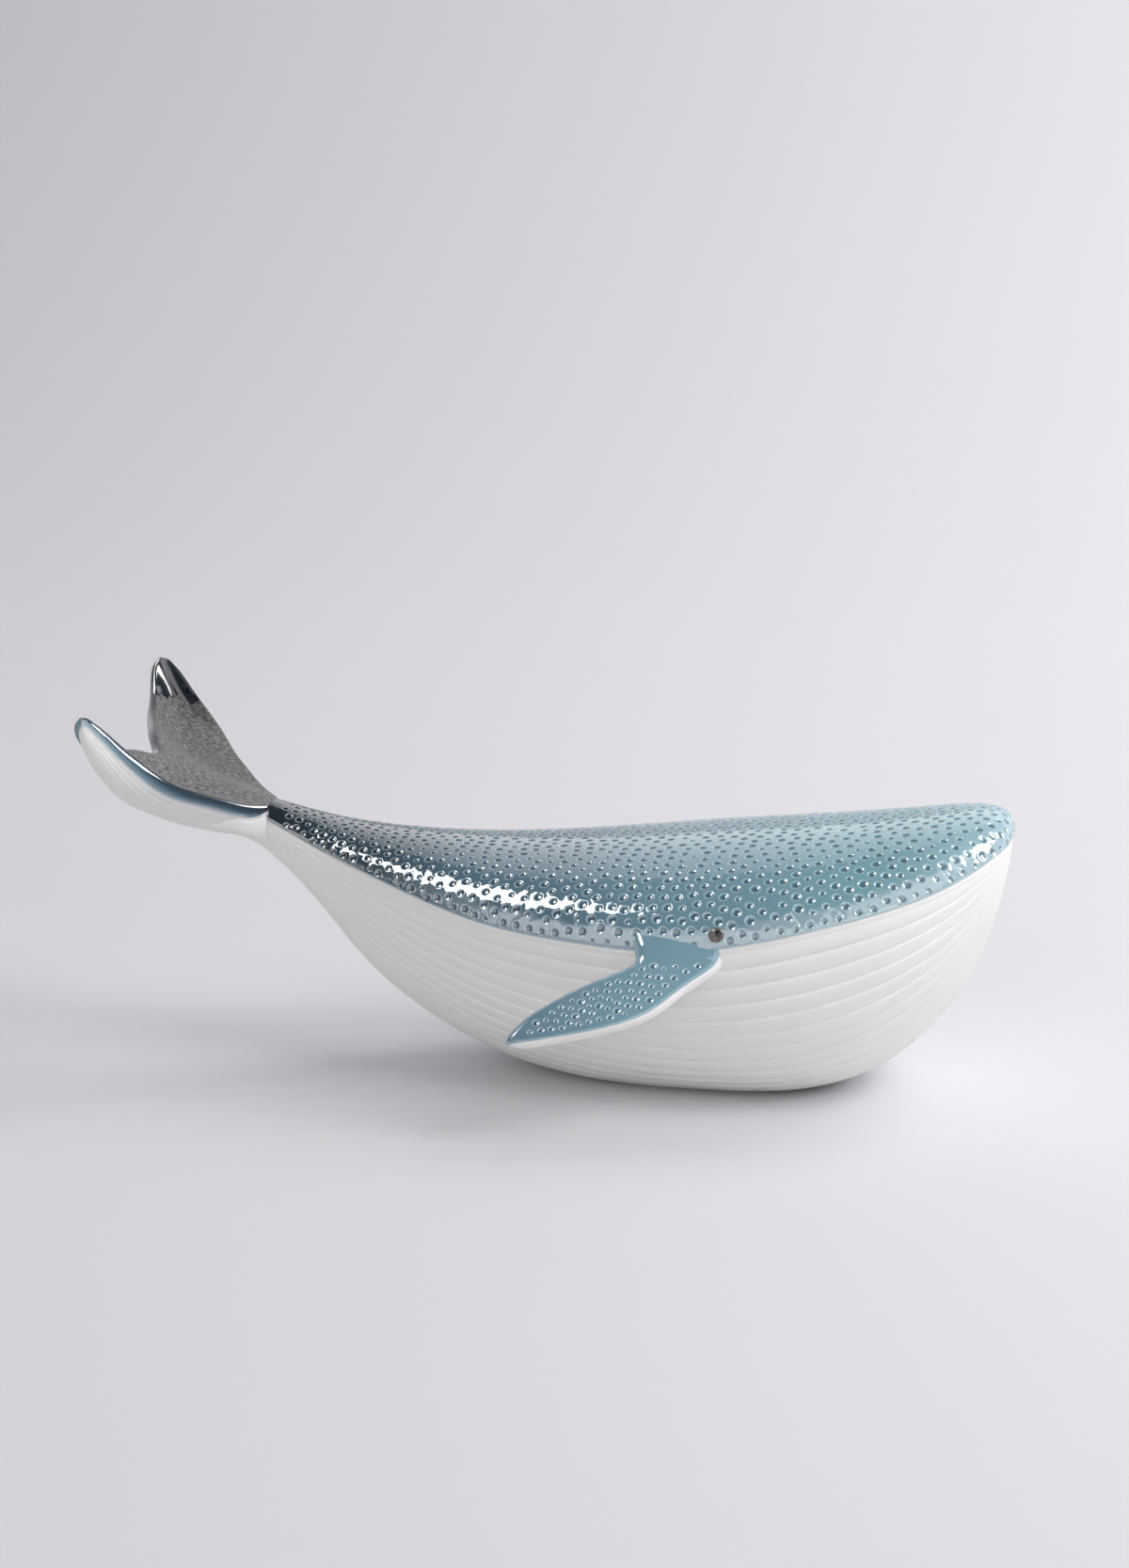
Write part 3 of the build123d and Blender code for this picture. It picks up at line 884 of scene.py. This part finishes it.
def glass_coat(name, stops):
    """Glossy coloured glass: darker where it pools, paler where it runs thin, and with a painted pale
    reflection along its lower line.
    """
    glass = bpy.data.materials.new(name)
    glass.use_nodes = True
    nodes, links = glass.node_tree.nodes, glass.node_tree.links
    shader = nodes["Principled BSDF"]
    shader.inputs["IOR"].default_value = glass_index
    place = nodes.new("ShaderNodeTexCoord").outputs["Object"]
    split = nodes.new("ShaderNodeSeparateXYZ")
    links.new(place, split.inputs["Vector"])
    along = fitted(nodes, links, split.outputs["X"], -tail_reach, nose_reach, 0, 1)
    ramp = nodes.new("ShaderNodeValToRGB")
    ramp.color_ramp.interpolation = "EASE"
    coloured(ramp, stops)
    links.new(along, ramp.inputs["Fac"])
    pool = attribute(nodes, "pooling")
    thin = fitted(nodes, links, pool, 0.08, 0.34, 0.5, 0)
    thick = fitted(nodes, links, pool, 0.5, 0.85, 0, 0.85)
    tatter = fitted(nodes, links, noise(nodes, links, place, 110, 2), 0.3, 0.7, -0.12, 0.12)
    ragged = worked(nodes, links, "ADD", attribute(nodes, "near_line"), tatter)
    past_tail = fitted(nodes, links, split.outputs["X"], *painted_reflection_fade, 0, 1)
    # Painted pale reflection along the coat's lower line, left off behind the tail.
    painted_reflection_share = fitted(nodes, links, ragged, 0.25, 0.45, 0, 0.42)
    band = worked(nodes, links, "MULTIPLY", painted_reflection_share, past_tail)
    body_tone = blended(nodes, links, band, ramp.outputs["Color"], painted_line_reflection)
    pale = blended(nodes, links, thin, body_tone, lip_blue)
    pooled = blended(nodes, links, 1, body_tone, core_shade, "MULTIPLY")
    deep = blended(nodes, links, thick, pale, pooled)
    cloud = fitted(nodes, links, noise(nodes, links, place, 60, 3), 0.3, 0.7, 0, 0.12)
    clouded = blended(nodes, links, cloud, deep, cloud_shade, "MULTIPLY")
    links.new(clouded, shader.inputs["Base Color"])
    rough = fitted(nodes, links, noise(nodes, links, place, 150, 2), 0.3, 0.7, 0.02, 0.05)
    links.new(rough, shader.inputs["Roughness"])
    bumped(nodes, links, shader, noise(nodes, links, place, 120, 2), glass_ripple, 0.25)
    return glass


back_glaze.data.materials.append(glass_coat("blue_glass", blue_stops))

# The tail fluke: cast by itself in the same white clay, cupped, notched between its lobes,
# and luted onto the tail with slip. Fine pleats run from tip to tip on its underside, and
# the tail's root carries on beneath it as a low keel that dies away.
fluke_half_span = 0.0578
fluke_length = 0.060
fluke_rise = 0.0426
fluke_seat_drop = 0.0010
fluke_belly_depth = 0.018
fluke_dish_depth = 0.006
fluke_rim_radius = 0.0019
fluke_pleats = 12
fluke_groove_gain = 1.6
fluke_groove_sharpness = 4
fluke_belly_fullness = 0.75
fluke_steps = 121
points_per_pleat = 6
fluke_top_steps = 14
edge_turns = range(-90, 91, 30)
fluke_stub_length = 0.043
stub_line_share = 0.2
stub_steps = 40
stain_width = 0.0017
stain_start = 0.0008
fluke_base_height = hull_shares[0][2] * back_height - fluke_seat_drop

# Span, then length and rise of the leading edge, the same of the trailing edge, and shares
# of the belly's depth, the dish's depth and the rim's radius
fluke_shares = [
    (0.000, -0.05, -0.045, 0.765, 0.380, 0.95, 0.05, 1.00),
    (0.208, 0.070, -0.020, 0.827, 0.460, 0.93, 0.45, 1.00),
    (0.415, 0.247, 0.105, 0.895, 0.524, 0.82, 0.95, 1.00),
    (0.623, 0.400, 0.238, 0.948, 0.588, 0.68, 1.00, 1.00),
    (0.761, 0.497, 0.360, 0.970, 0.671, 0.55, 0.95, 1.00),
    (0.865, 0.622, 0.549, 0.990, 0.770, 0.46, 0.80, 1.00),
    (0.934, 0.748, 0.751, 1.000, 0.869, 0.37, 0.55, 0.85),
    (0.978, 0.842, 0.904, 0.987, 0.953, 0.25, 0.25, 0.62),
    (1.000, 0.908, 0.986, 0.958, 1.000, 0.14, 0.00, 0.32),
]

# Place behind the joint, half width, crown, widest line and keel of the tail's root
stub_shares = [
    (1.00, 0.060, 0.985, 0.975, 0.960),
    (0.86, 0.134, 0.974, 0.925, 0.869),
    (0.67, 0.194, 0.965, 0.900, 0.836),
    (0.42, 0.224, 0.946, 0.885, 0.822),
    (0.21, 0.209, 0.936, 0.870, 0.807),
]


def fluke_half():
    """Rows of one lobe: edge points and depths, from the middle to the tip."""
    rows = []
    for span, lead_x, lead_z, trail_x, trail_z, belly, dish, rim in fluke_shares:
        rows.append((
            span * fluke_half_span,
            -tail_reach - lead_x * fluke_length, fluke_base_height + lead_z * fluke_rise,
            -tail_reach - trail_x * fluke_length, fluke_base_height + trail_z * fluke_rise,
            belly * fluke_belly_depth, dish * fluke_dish_depth, rim * fluke_rim_radius,
        ))
    return rows


half_rows = np.array(fluke_half())
mirrored = half_rows[:0:-1] * np.array([-1, 1, 1, 1, 1, 1, 1, 1])
full_rows = np.concatenate([mirrored, half_rows])
fluke_knots = chord_knots(full_rows[:, :5])
fluke_at = smooth_through(fluke_knots, full_rows)


def fluke_frames(count):
    """Edges, chord and the way down of each row of the fluke, from tip to tip."""
    rows = fluke_at(np.linspace(0, 1, count))
    lead = np.stack([rows[:, 1], rows[:, 0], rows[:, 2]], axis=-1)
    trail = np.stack([rows[:, 3], rows[:, 0], rows[:, 4]], axis=-1)
    middle = (lead + trail) / 2
    spine = np.gradient(middle, axis=0)
    chord = trail - lead
    chord /= np.linalg.norm(chord, axis=1)[:, None]
    down = np.cross(chord, spine)
    down /= np.linalg.norm(down, axis=1)[:, None]
    down *= np.where(down[:, 2] > 0, -1, 1)[:, None]
    return [(lead[k], trail[k], chord[k], down[k], *rows[k, 5:]) for k in range(count)]


def rounded_edge(centre, outward, down, radius, angles):
    """Points of a rounded edge: angle 0 faces outward, 90 degrees faces down."""
    turn = np.radians(np.array(angles, float))[:, None]
    return centre + outward * radius * np.cos(turn) + down * radius * np.sin(turn)


def past_joint(points):
    """Rises from nought at the joint with the body to one a little way behind it."""
    return np.clip((-tail_reach - stain_start - points[:, 0]) / stain_start, 0, 1)


def fluke_ring(lead, trail, chord, down, belly, dish, rim):
    """A closed ring round one row: rounded rims, a pleated belly and a dished top."""
    front, rear = lead + chord * rim, trail - chord * rim
    width = np.linalg.norm(trail - lead) / fluke_pleats
    groove = min(pleat_depth, width * deepest_pleat_share) * fluke_groove_gain
    share = np.linspace(0, 1, fluke_pleats * points_per_pleat + 1)[1:-1]
    phase = share * fluke_pleats % 1
    sag = rim + (belly - rim) * np.sin(pi * share) ** fluke_belly_fullness
    sag = sag - groove * np.abs(2 * phase - 1) ** fluke_groove_sharpness
    below = front + (rear - front) * share[:, None] + down * sag[:, None]
    top = np.linspace(1, 0, fluke_top_steps)[1:-1]
    above = front + (rear - front) * top[:, None]
    above = above + down * (dish * np.sin(pi * top) - rim)[:, None]
    nose = rounded_edge(front, -chord, down, rim, edge_turns)
    heel = rounded_edge(rear, chord, down, rim, edge_turns[::-1])
    ring = np.concatenate([nose, below, heel, above])
    return np.concatenate([ring, ring[:1]])


def stub_rings():
    """Rings of the tail's root behind the joint."""
    rows = [
        (-tail_reach - place * fluke_stub_length, width * half_beam, crown * back_height,
         widest * back_height, keel * back_height,
         (widest + (crown - widest) * stub_line_share) * back_height)
        for place, width, crown, widest, keel in stub_shares
    ]
    joint_row = len(rows)
    rows = rows + [tuple(row) for row in hull_rows[:3]]
    knots = chord_knots(rows)
    along = smooth_through(knots, rows)(np.linspace(0, knots[joint_row], stub_steps))
    return [hull_ring(row, 0) for row in along]


fluke_frame_rows = fluke_frames(fluke_steps)
fluke = laid_sheet("tail_fluke_casting", [fluke_ring(*row) for row in fluke_frame_rows])
sliced(fluke, (-tail_reach, 0, 0), (-1, 0, 0))
combined(fluke, laid_sheet("tail_root", stub_rings()), "UNION")
rim_middles = []
for lead, trail, chord, down, belly, dish, rim in fluke_frame_rows:
    rim_middles += [lead + chord * rim, trail - chord * rim]
from_rim = distances(fluke.data, rim_middles) - fluke_rim_radius
clay_points = np.array([vertex.co for vertex in fluke.data.vertices])
stains = np.clip(1 - from_rim / stain_width, 0, 1) * past_joint(clay_points)
marked(fluke.data, "stain", stains)
fluke.data.materials.clear()
fluke.data.materials.append(bisque_porcelain("stained_bisque", "stain"))
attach(fluke, "root")
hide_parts("tail_fluke")

# The coat on the fluke: the same glass, nearly black here, brushed on thick over the dished
# top and rolled over the rim, where it thins out to blue and fades into the white clay.
coat_top_steps = 28
buried_share = 0.5
lip_turn = 40
lip_thickness_share = 0.2
roll_turns = (30, 15, 0, -20, -45, -70, -90)
roll_shares = (1, 0.9, 0.75, 0.55, 0.35, 0.2, 0.08, 0)


def fluke_coat_ring(lead, trail, chord, down, belly, dish, rim):
    """A closed ring round the coat of one row, with its inner side buried in the clay."""
    front, rear = lead + chord * rim, trail - chord * rim
    proud = rim + coat_thickness
    lip = rim + coat_thickness * lip_thickness_share
    share = np.linspace(1, 0, coat_top_steps)[1:-1]
    top = front + (rear - front) * share[:, None]
    top = top + down * (dish * np.sin(pi * share) - proud)[:, None]
    back = share[::-1]
    inner = front + (rear - front) * back[:, None]
    inner = inner + down * (dish * np.sin(pi * back) - rim * buried_share)[:, None]
    heel = np.concatenate([
        rounded_edge(rear, chord, down, lip, (lip_turn,)),
        rounded_edge(rear, chord, down, proud, roll_turns),
    ])
    nose = np.concatenate([
        rounded_edge(front, -chord, down, proud, roll_turns[::-1]),
        rounded_edge(front, -chord, down, lip, (lip_turn,)),
    ])
    ring = np.concatenate([heel, top, nose, inner])
    flat = np.zeros(len(top))
    rolled = np.concatenate([roll_shares, flat, roll_shares[::-1], flat])
    length = np.linalg.norm(rear - front)
    ends = np.ones(len(roll_shares))
    run = np.concatenate([ends, share, ends * 0, back]) * length
    brush = np.stack([np.full(len(run), lead[1]), run, np.zeros(len(run))], axis=-1)
    thinned = rolled * past_joint(ring)
    return [np.concatenate([part, part[:1]]) for part in (ring, rolled, thinned, brush)]


coat_rows = [fluke_coat_ring(*row) for row in fluke_frame_rows]
coat_rings, coat_rolls, coat_thins, coat_brush = zip(*coat_rows)
fluke_coat = laid_sheet(
    "fluke_glaze_coat", coat_rings,
    {"rolled": coat_rolls, "thinned": coat_thins, "brush": coat_brush},
)
sliced(fluke_coat, (-tail_reach, 0, 0), (-1, 0, 0))

clear_tip_height = 0.125
clear_tip_fade = 0.001
# The pale crust tone is partly the brush's real dashes and partly a painted reflection of the pale
# backdrop; the clear black tips and the rolled rim go without it.
crust_dark = (0.062, 0.062, 0.070, 1)
pale_crust_and_painted_reflection = (0.32, 0.31, 0.31, 1)
tip_black = (0.010, 0.016, 0.026, 1)
brush_stretch = (1, 0.3, 1)
crust_relief = 0.0003

# The colour over the rim, from thick glass to thin
rim_stops = [
    (0.0, (0.012, 0.020, 0.030)),
    (0.5, (0.030, 0.065, 0.095)),
    (0.8, (0.09, 0.17, 0.24)),
    (1.0, (0.22, 0.33, 0.41)),
]


def brushed_glass():
    """Almost black glass, crusted with the fine dashes that the brush left and greyed by a painted
    reflection of the pale backdrop, clear and black at the tips, and thinning to blue where it rolls
    over the rim."""
    glass = bpy.data.materials.new("brushed_black_glass")
    glass.use_nodes = True
    nodes, links = glass.node_tree.nodes, glass.node_tree.links
    shader = nodes["Principled BSDF"]
    shader.inputs["Specular IOR Level"].default_value = 0.2
    shader.inputs["Coat IOR"].default_value = 1.38
    shader.inputs["Coat Roughness"].default_value = 0.03
    place = nodes.new("ShaderNodeTexCoord").outputs["Object"]
    stretch = nodes.new("ShaderNodeMapping")
    stretch.inputs["Scale"].default_value = brush_stretch
    links.new(attribute(nodes, "brush", "Vector"), stretch.inputs["Vector"])
    dashes = noise(nodes, links, stretch.outputs["Vector"], 1600, 3, 0.65)
    rolled, thinned = attribute(nodes, "rolled"), attribute(nodes, "thinned")
    split = nodes.new("ShaderNodeSeparateXYZ")
    links.new(place, split.inputs["Vector"])
    tatter = fitted(nodes, links, noise(nodes, links, place, 160, 3), 0.3, 0.7, -0.005, 0.005)
    ragged = worked(nodes, links, "ADD", split.outputs["Z"], tatter)
    fade_end = clear_tip_height + clear_tip_fade
    tip = fitted(nodes, links, ragged, clear_tip_height, fade_end, 0, 1)
    calm = worked(nodes, links, "MAXIMUM", tip, fitted(nodes, links, rolled, 0, 0.15, 0, 1))
    tone = fitted(nodes, links, dashes, 0.40, 0.66, 0, 1)
    # Brush dashes over a painted grey reflection of the backdrop.
    crust_and_painted_reflection = blended(nodes, links, tone, crust_dark, pale_crust_and_painted_reflection)
    top = blended(nodes, links, calm, crust_and_painted_reflection, tip_black)
    rim = nodes.new("ShaderNodeValToRGB")
    coloured(rim, rim_stops)
    links.new(thinned, rim.inputs["Fac"])
    over = fitted(nodes, links, thinned, 0.02, 0.2, 0, 1)
    links.new(blended(nodes, links, over, top, rim.outputs["Color"]), shader.inputs["Base Color"])
    links.new(fitted(nodes, links, calm, 0, 1, 0.6, 0.2), shader.inputs["Roughness"])
    links.new(calm, shader.inputs["Coat Weight"])
    rough = fitted(nodes, links, calm, 0, 1, 1, 0)
    ridges = worked(nodes, links, "MULTIPLY", dashes, rough)
    bumped(nodes, links, shader, ridges, crust_relief, 0.5)
    return glass


fluke_coat.data.materials.append(brushed_glass())
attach(fluke_coat, "root")
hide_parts("fluke_glaze")

# The fins: a pair of swept paddles, cast by themselves and luted into the flanks below the
# eyes. The glass covers their upper face and leaves a bare white leading edge.
fin_sweep = 0.049
fin_span = 0.042
fin_thickness = 0.007
fin_droop = radians(38)
fin_reach = -0.010
fin_height = 0.0615
fin_edge_radius = 0.0025
fin_bare_rim = 0.0018
widest_edge_share = 0.3
fin_steps = 61
fin_face_steps = 14
root_flare_start = 0.001
root_flare_reach = 0.006
root_flare = 0.4
along_body = np.array([1.0, 0, 0])

# Sweep and span of the leading edge, the same of the trailing edge, and thickness
fin_shares = [
    (-0.485, -0.190, 0.215, -0.190, 1.00),
    (-0.468, 0.095, 0.150, 0.095, 0.95),
    (-0.385, 0.205, 0.200, 0.170, 0.92),
    (-0.224, 0.390, 0.400, 0.312, 0.86),
    (-0.041, 0.619, 0.612, 0.464, 0.82),
    (0.163, 0.757, 0.755, 0.595, 0.78),
    (0.429, 0.869, 0.878, 0.721, 0.72),
    (0.673, 0.948, 0.955, 0.833, 0.66),
    (0.857, 1.002, 0.996, 0.919, 0.58),
    (0.939, 1.000, 1.000, 0.964, 0.48),
]
fine_places = np.linspace(0, 1, 2000)
fine_hull = hull_at(fine_places)
root_row = fine_hull[np.abs(fine_hull[:, 0] - fin_reach).argmin()][None, :]
root_side = upper_points(root_row, upper_turn(root_row, fin_height))[0][1]
fin_root = np.array([fin_reach, -root_side, fin_height])
fin_out = np.array([0, -cos(fin_droop), -sin(fin_droop)])
fin_up = np.array([0, -sin(fin_droop), cos(fin_droop)])
fin_row_at = smooth_through(chord_knots(fin_shares), fin_shares)


def fin_frames(place):
    """Edges, chord, its length, edge radius and swell of a fin at places from root to tip."""
    rows = fin_row_at(place)
    lead = fin_root - rows[:, :1] * fin_sweep * along_body + rows[:, 1:2] * fin_span * fin_out
    trail = fin_root - rows[:, 2:3] * fin_sweep * along_body + rows[:, 3:4] * fin_span * fin_out
    length = np.linalg.norm(trail - lead, axis=1)[:, None]
    radius = np.minimum(fin_edge_radius, length * widest_edge_share)
    swell = np.clip(rows[:, 4:5] * fin_thickness / 2 - radius, 0, None)
    return lead, trail, (trail - lead) / length, length, radius, swell


def fin_ring(lead, trail, chord, length, radius, swell):
    """A closed ring round one row of a fin: a lens with rounded edges."""
    front, rear = lead + chord * radius, trail - chord * radius
    radius = radius[0]
    share = np.linspace(0, 1, fin_face_steps)[1:-1, None]
    rise = radius + swell * np.sin(pi * share)
    below = front + (rear - front) * share - fin_up * rise
    above = (front + (rear - front) * share + fin_up * rise)[::-1]
    nose = rounded_edge(front, -chord, -fin_up, radius, edge_turns)
    heel = rounded_edge(rear, chord, -fin_up, radius, edge_turns[::-1])
    ring = root_flared(np.concatenate([nose, below, heel, above]))
    return np.concatenate([ring, ring[:1]])


def root_flared(points):
    """Points of a fin with the slip that fills the corner between it and the flank."""
    offset = points - fin_root
    near = np.clip(1 - (offset @ fin_out + root_flare_start) / root_flare_reach, 0, 1)
    rise = (offset @ fin_up) * near ** 2 * root_flare
    return points + rise[:, None] * fin_up


fin_rows = zip(*fin_frames(np.linspace(0, 1, fin_steps)))
right_fin = laid_sheet("right_fin_casting", [fin_ring(*row) for row in fin_rows])
right_fin.data.materials.append(bisque)

# The fins' coats: smaller pits than the back's, a smooth strip at the root, a low step in
# front and a roll over the rear edge.
fin_pit_spacing = 0.0036
fin_pit_radius = 0.0019
fin_pit_depth = 0.00045
fin_pit_sizes = (1.0, 0.85, 0.7)
fin_tip_crowding = 0.12
fin_pit_tries = 9000
fin_pit_rounds = 10
fin_rim_room = (0.55, 0.6)
fin_rim_gap = 0.0018
fin_shoulder = 0.0011
shoulder_places = (0.004, 0.99)
shoulder_acrosses = (-0.97, 0.97)
smooth_root_share = 0.1
fin_coat_body = 0.0013
# The fins' glass is the back's glass made paler: a painted reflection of the haze that their upturned
# faces mirror.
fin_glass_painted_reflection_gain = 1.18
fin_glass_painted_reflection_lift = 0.02

# Each step down to the clay: how far out it stands in front, the same behind as a share of
# the roll, and then its fall in the same two ways
fin_coat_steps = (
    (0.0003, 0.7, 0.0003, 0.3),
    (0.0004, 1.0, 0.0008, 1.0),
    (0.0001, 0.6, 0.0014, 1.0),
)


def fin_coat_points(place, across):
    """Points of the fin's coat: place runs from root to tip, across from front to rear."""
    lead, trail, chord, length, radius, swell = fin_frames(place)
    front = lead + chord * np.minimum(fin_bare_rim, length * widest_edge_share)
    rear = trail - chord * radius
    share = (across[:, None] + 1) / 2
    from_lead = np.linalg.norm(front + (rear - front) * share - lead, axis=1)[:, None]
    shoulder = np.sqrt(radius ** 2 - np.clip(radius - from_lead, 0, radius) ** 2)
    rise = shoulder + coat_thickness + swell * np.sin(pi * np.clip(from_lead / length, 0, 1))
    return root_flared(front + (rear - front) * share + fin_up * rise)


def fin_spacing(points):
    """Pits stand a little closer towards the fin's tip."""
    return fin_pit_spacing * (1 - fin_tip_crowding * ((points - fin_root) @ fin_out) / fin_span)


def make_fin_coat():
    """The pitted coat of the right fin, with its step in front and its roll behind."""
    walk = border_walk(fin_coat_points, fin_rim_gap, sheet_corners)
    inward = inward_of(fin_coat_points, *walk)
    points = fin_coat_points(*walk)
    shoulder = slid(fin_coat_points, *walk, inward * fin_shoulder)
    shoulder = (np.clip(shoulder[0], *shoulder_places), np.clip(shoulder[1], *shoulder_acrosses))
    guard = fin_coat_points(*shoulder)
    pits = pressed_places(
        fin_coat_points, fin_spacing, guard, fin_rim_room, fin_pit_tries, fin_pit_rounds, pit_seed,
    )
    place = np.concatenate([walk[0], shoulder[0], pits[0]])
    across = np.concatenate([walk[1], shoulder[1], pits[1]])
    all_points = fin_coat_points(place, across)
    normals = slopes(fin_coat_points, np.clip(place, *off_the_ends), across)[2]
    if (normals @ fin_up).mean() < 0:
        normals = -normals
    count = len(walk[0])
    flat = np.stack([all_points @ along_body, all_points @ fin_out], axis=-1)
    if flat_area(flat[:count]) < 0:
        flat[:, 0] *= -1
    triangles = evened_triangles(all_points, sheet_triangles(flat, count))
    radii = np.full(len(place), fin_pit_radius)
    radii *= np.random.default_rng(pit_seed + 2).choice(fin_pit_sizes, len(place))
    out = (all_points - fin_root) @ fin_out
    radii[out < fin_span * smooth_root_share] = 0
    radii[:count * 2] = 0
    depths = np.full(len(place), fin_pit_depth)
    rear = ((walk[1] + 1) / 2)[:, None]
    roll = fin_edge_radius + coat_thickness
    steps = []
    for out, out_share, fall, fall_share in fin_coat_steps:
        outward = out + (roll * out_share - out) * rear
        down = fall + (roll * fall_share - fall) * rear
        steps.append(points - inward * outward - fin_up * down)
    under = all_points - fin_up * fin_coat_body
    return pitted_sheet(
        "right_fin_glaze_coat", all_points, normals, radii, depths, triangles, count, steps, under,
    )


def flat_area(ring):
    """Signed area of a ring on a flat map: positive when it runs anticlockwise."""
    ahead = np.roll(ring, -1, axis=0)
    return float((ring[:, 0] * ahead[:, 1] - ahead[:, 0] * ring[:, 1]).sum() / 2)


def other_side(piece, name):
    """A copy of a piece with its own mesh, mirrored to the left side."""
    twin = piece.copy()
    twin.data = piece.data.copy()
    twin.name = twin.data.name = name
    bpy.context.scene.collection.objects.link(twin)
    for vertex in twin.data.vertices:
        vertex.co.y = -vertex.co.y
    twin.data.flip_normals()
    return twin


right_coat = make_fin_coat()
# A paler copy of the back's blue stops, painted as the haze the fins reflect.
fin_stops_with_painted_reflection = [
    (position, [part * fin_glass_painted_reflection_gain + fin_glass_painted_reflection_lift for part in colour])
    for position, colour in blue_stops
]
right_coat.data.materials.append(glass_coat("fin_blue_glass_painted_reflection", fin_stops_with_painted_reflection))
left_fin = other_side(right_fin, "left_fin_casting")
left_coat = other_side(right_coat, "left_fin_glaze_coat")
for piece, node, finish in (
    (right_fin, "right_fin", "bisque"), (right_coat, "right_fin_glaze", "glaze"),
    (left_fin, "left_fin", "bisque"), (left_coat, "left_fin_glaze", "glaze"),
):
    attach(piece, "root")
    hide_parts(node)

# The eyes: small beads of brown enamel with a black mark, each set half sunk into the
# # coat just over the root of its fin, where the pits keep clear.
eye_radius = 0.00275
eye_flatness = 0.5
eye_mark_place = (0.0007, 0.0011)
eye_mark_radius = 0.0011
eye_mark_end = 0.0014
enamel_index = 1.3
enamel_roughness = 0.2
enamel_dark = (0.07, 0.058, 0.055, 1)
enamel_brown = (0.25, 0.22, 0.21, 1)
mark_black = (0.006, 0.008, 0.012, 1)


def brown_enamel():
    """Brown enamel, speckled, with a black mark towards its upper edge."""
    enamel = bpy.data.materials.new("brown_enamel")
    enamel.use_nodes = True
    nodes, links = enamel.node_tree.nodes, enamel.node_tree.links
    shader = nodes["Principled BSDF"]
    shader.inputs["IOR"].default_value = enamel_index
    shader.inputs["Roughness"].default_value = enamel_roughness
    place = nodes.new("ShaderNodeTexCoord").outputs["Object"]
    speck = fitted(nodes, links, noise(nodes, links, place, 1100, 3), 0.35, 0.65, 0, 1)
    brown = blended(nodes, links, speck, enamel_dark, enamel_brown)
    centre = nodes.new("ShaderNodeMapping")
    centre.inputs["Location"].default_value = (
        -eye_middle[0] - eye_mark_place[0], 0, -eye_middle[2] - eye_mark_place[1],
    )
    centre.inputs["Scale"].default_value = (1, 0, 1)
    links.new(place, centre.inputs["Vector"])
    reach = nodes.new("ShaderNodeVectorMath")
    reach.operation = "LENGTH"
    links.new(centre.outputs["Vector"], reach.inputs[0])
    mark = fitted(nodes, links, reach.outputs["Value"], eye_mark_radius, eye_mark_end, 1, 0)
    links.new(blended(nodes, links, mark, brown, mark_black), shader.inputs["Base Color"])
    return enamel


def on_coat(spot):
    """The point of the coat's right side that is nearest to a spot, and the way out there."""
    along_front = np.linspace(0.4, 0.9, 200)
    down_the_side = np.linspace(-1, -0.3, 150)
    place, across = np.meshgrid(along_front, down_the_side)
    place, across = place.ravel(), across.ravel()
    points = coat_points(place, across)
    nearest = np.linalg.norm(points - spot, axis=1).argmin()
    normal = slopes(coat_points, place[nearest:nearest + 1], across[nearest:nearest + 1])[2][0]
    return Vector(points[nearest]), Vector(normal if normal[2] > 0 else -normal)


eye_seat, eye_face = on_coat(eye_middle)
bpy.ops.object.select_all(action="DESELECT")
bpy.ops.mesh.primitive_uv_sphere_add(
    segments=32, ring_count=16, radius=eye_radius, location=(0, 0, 0),
)
right_eye = bpy.context.object
right_eye.name = right_eye.data.name = "right_eye_bead"
eye_turn = eye_face.to_track_quat("Z", "Y")
for vertex in right_eye.data.vertices:
    spot = vertex.co.copy()
    spot.z *= eye_flatness
    vertex.co = eye_seat + eye_turn @ spot
bpy.ops.object.shade_smooth()
right_eye.data.materials.append(brown_enamel())
left_eye = other_side(right_eye, "left_eye_bead")
for piece, node in ((right_eye, "right_eye"), (left_eye, "left_eye")):
    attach(piece, "root")
    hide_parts(node)
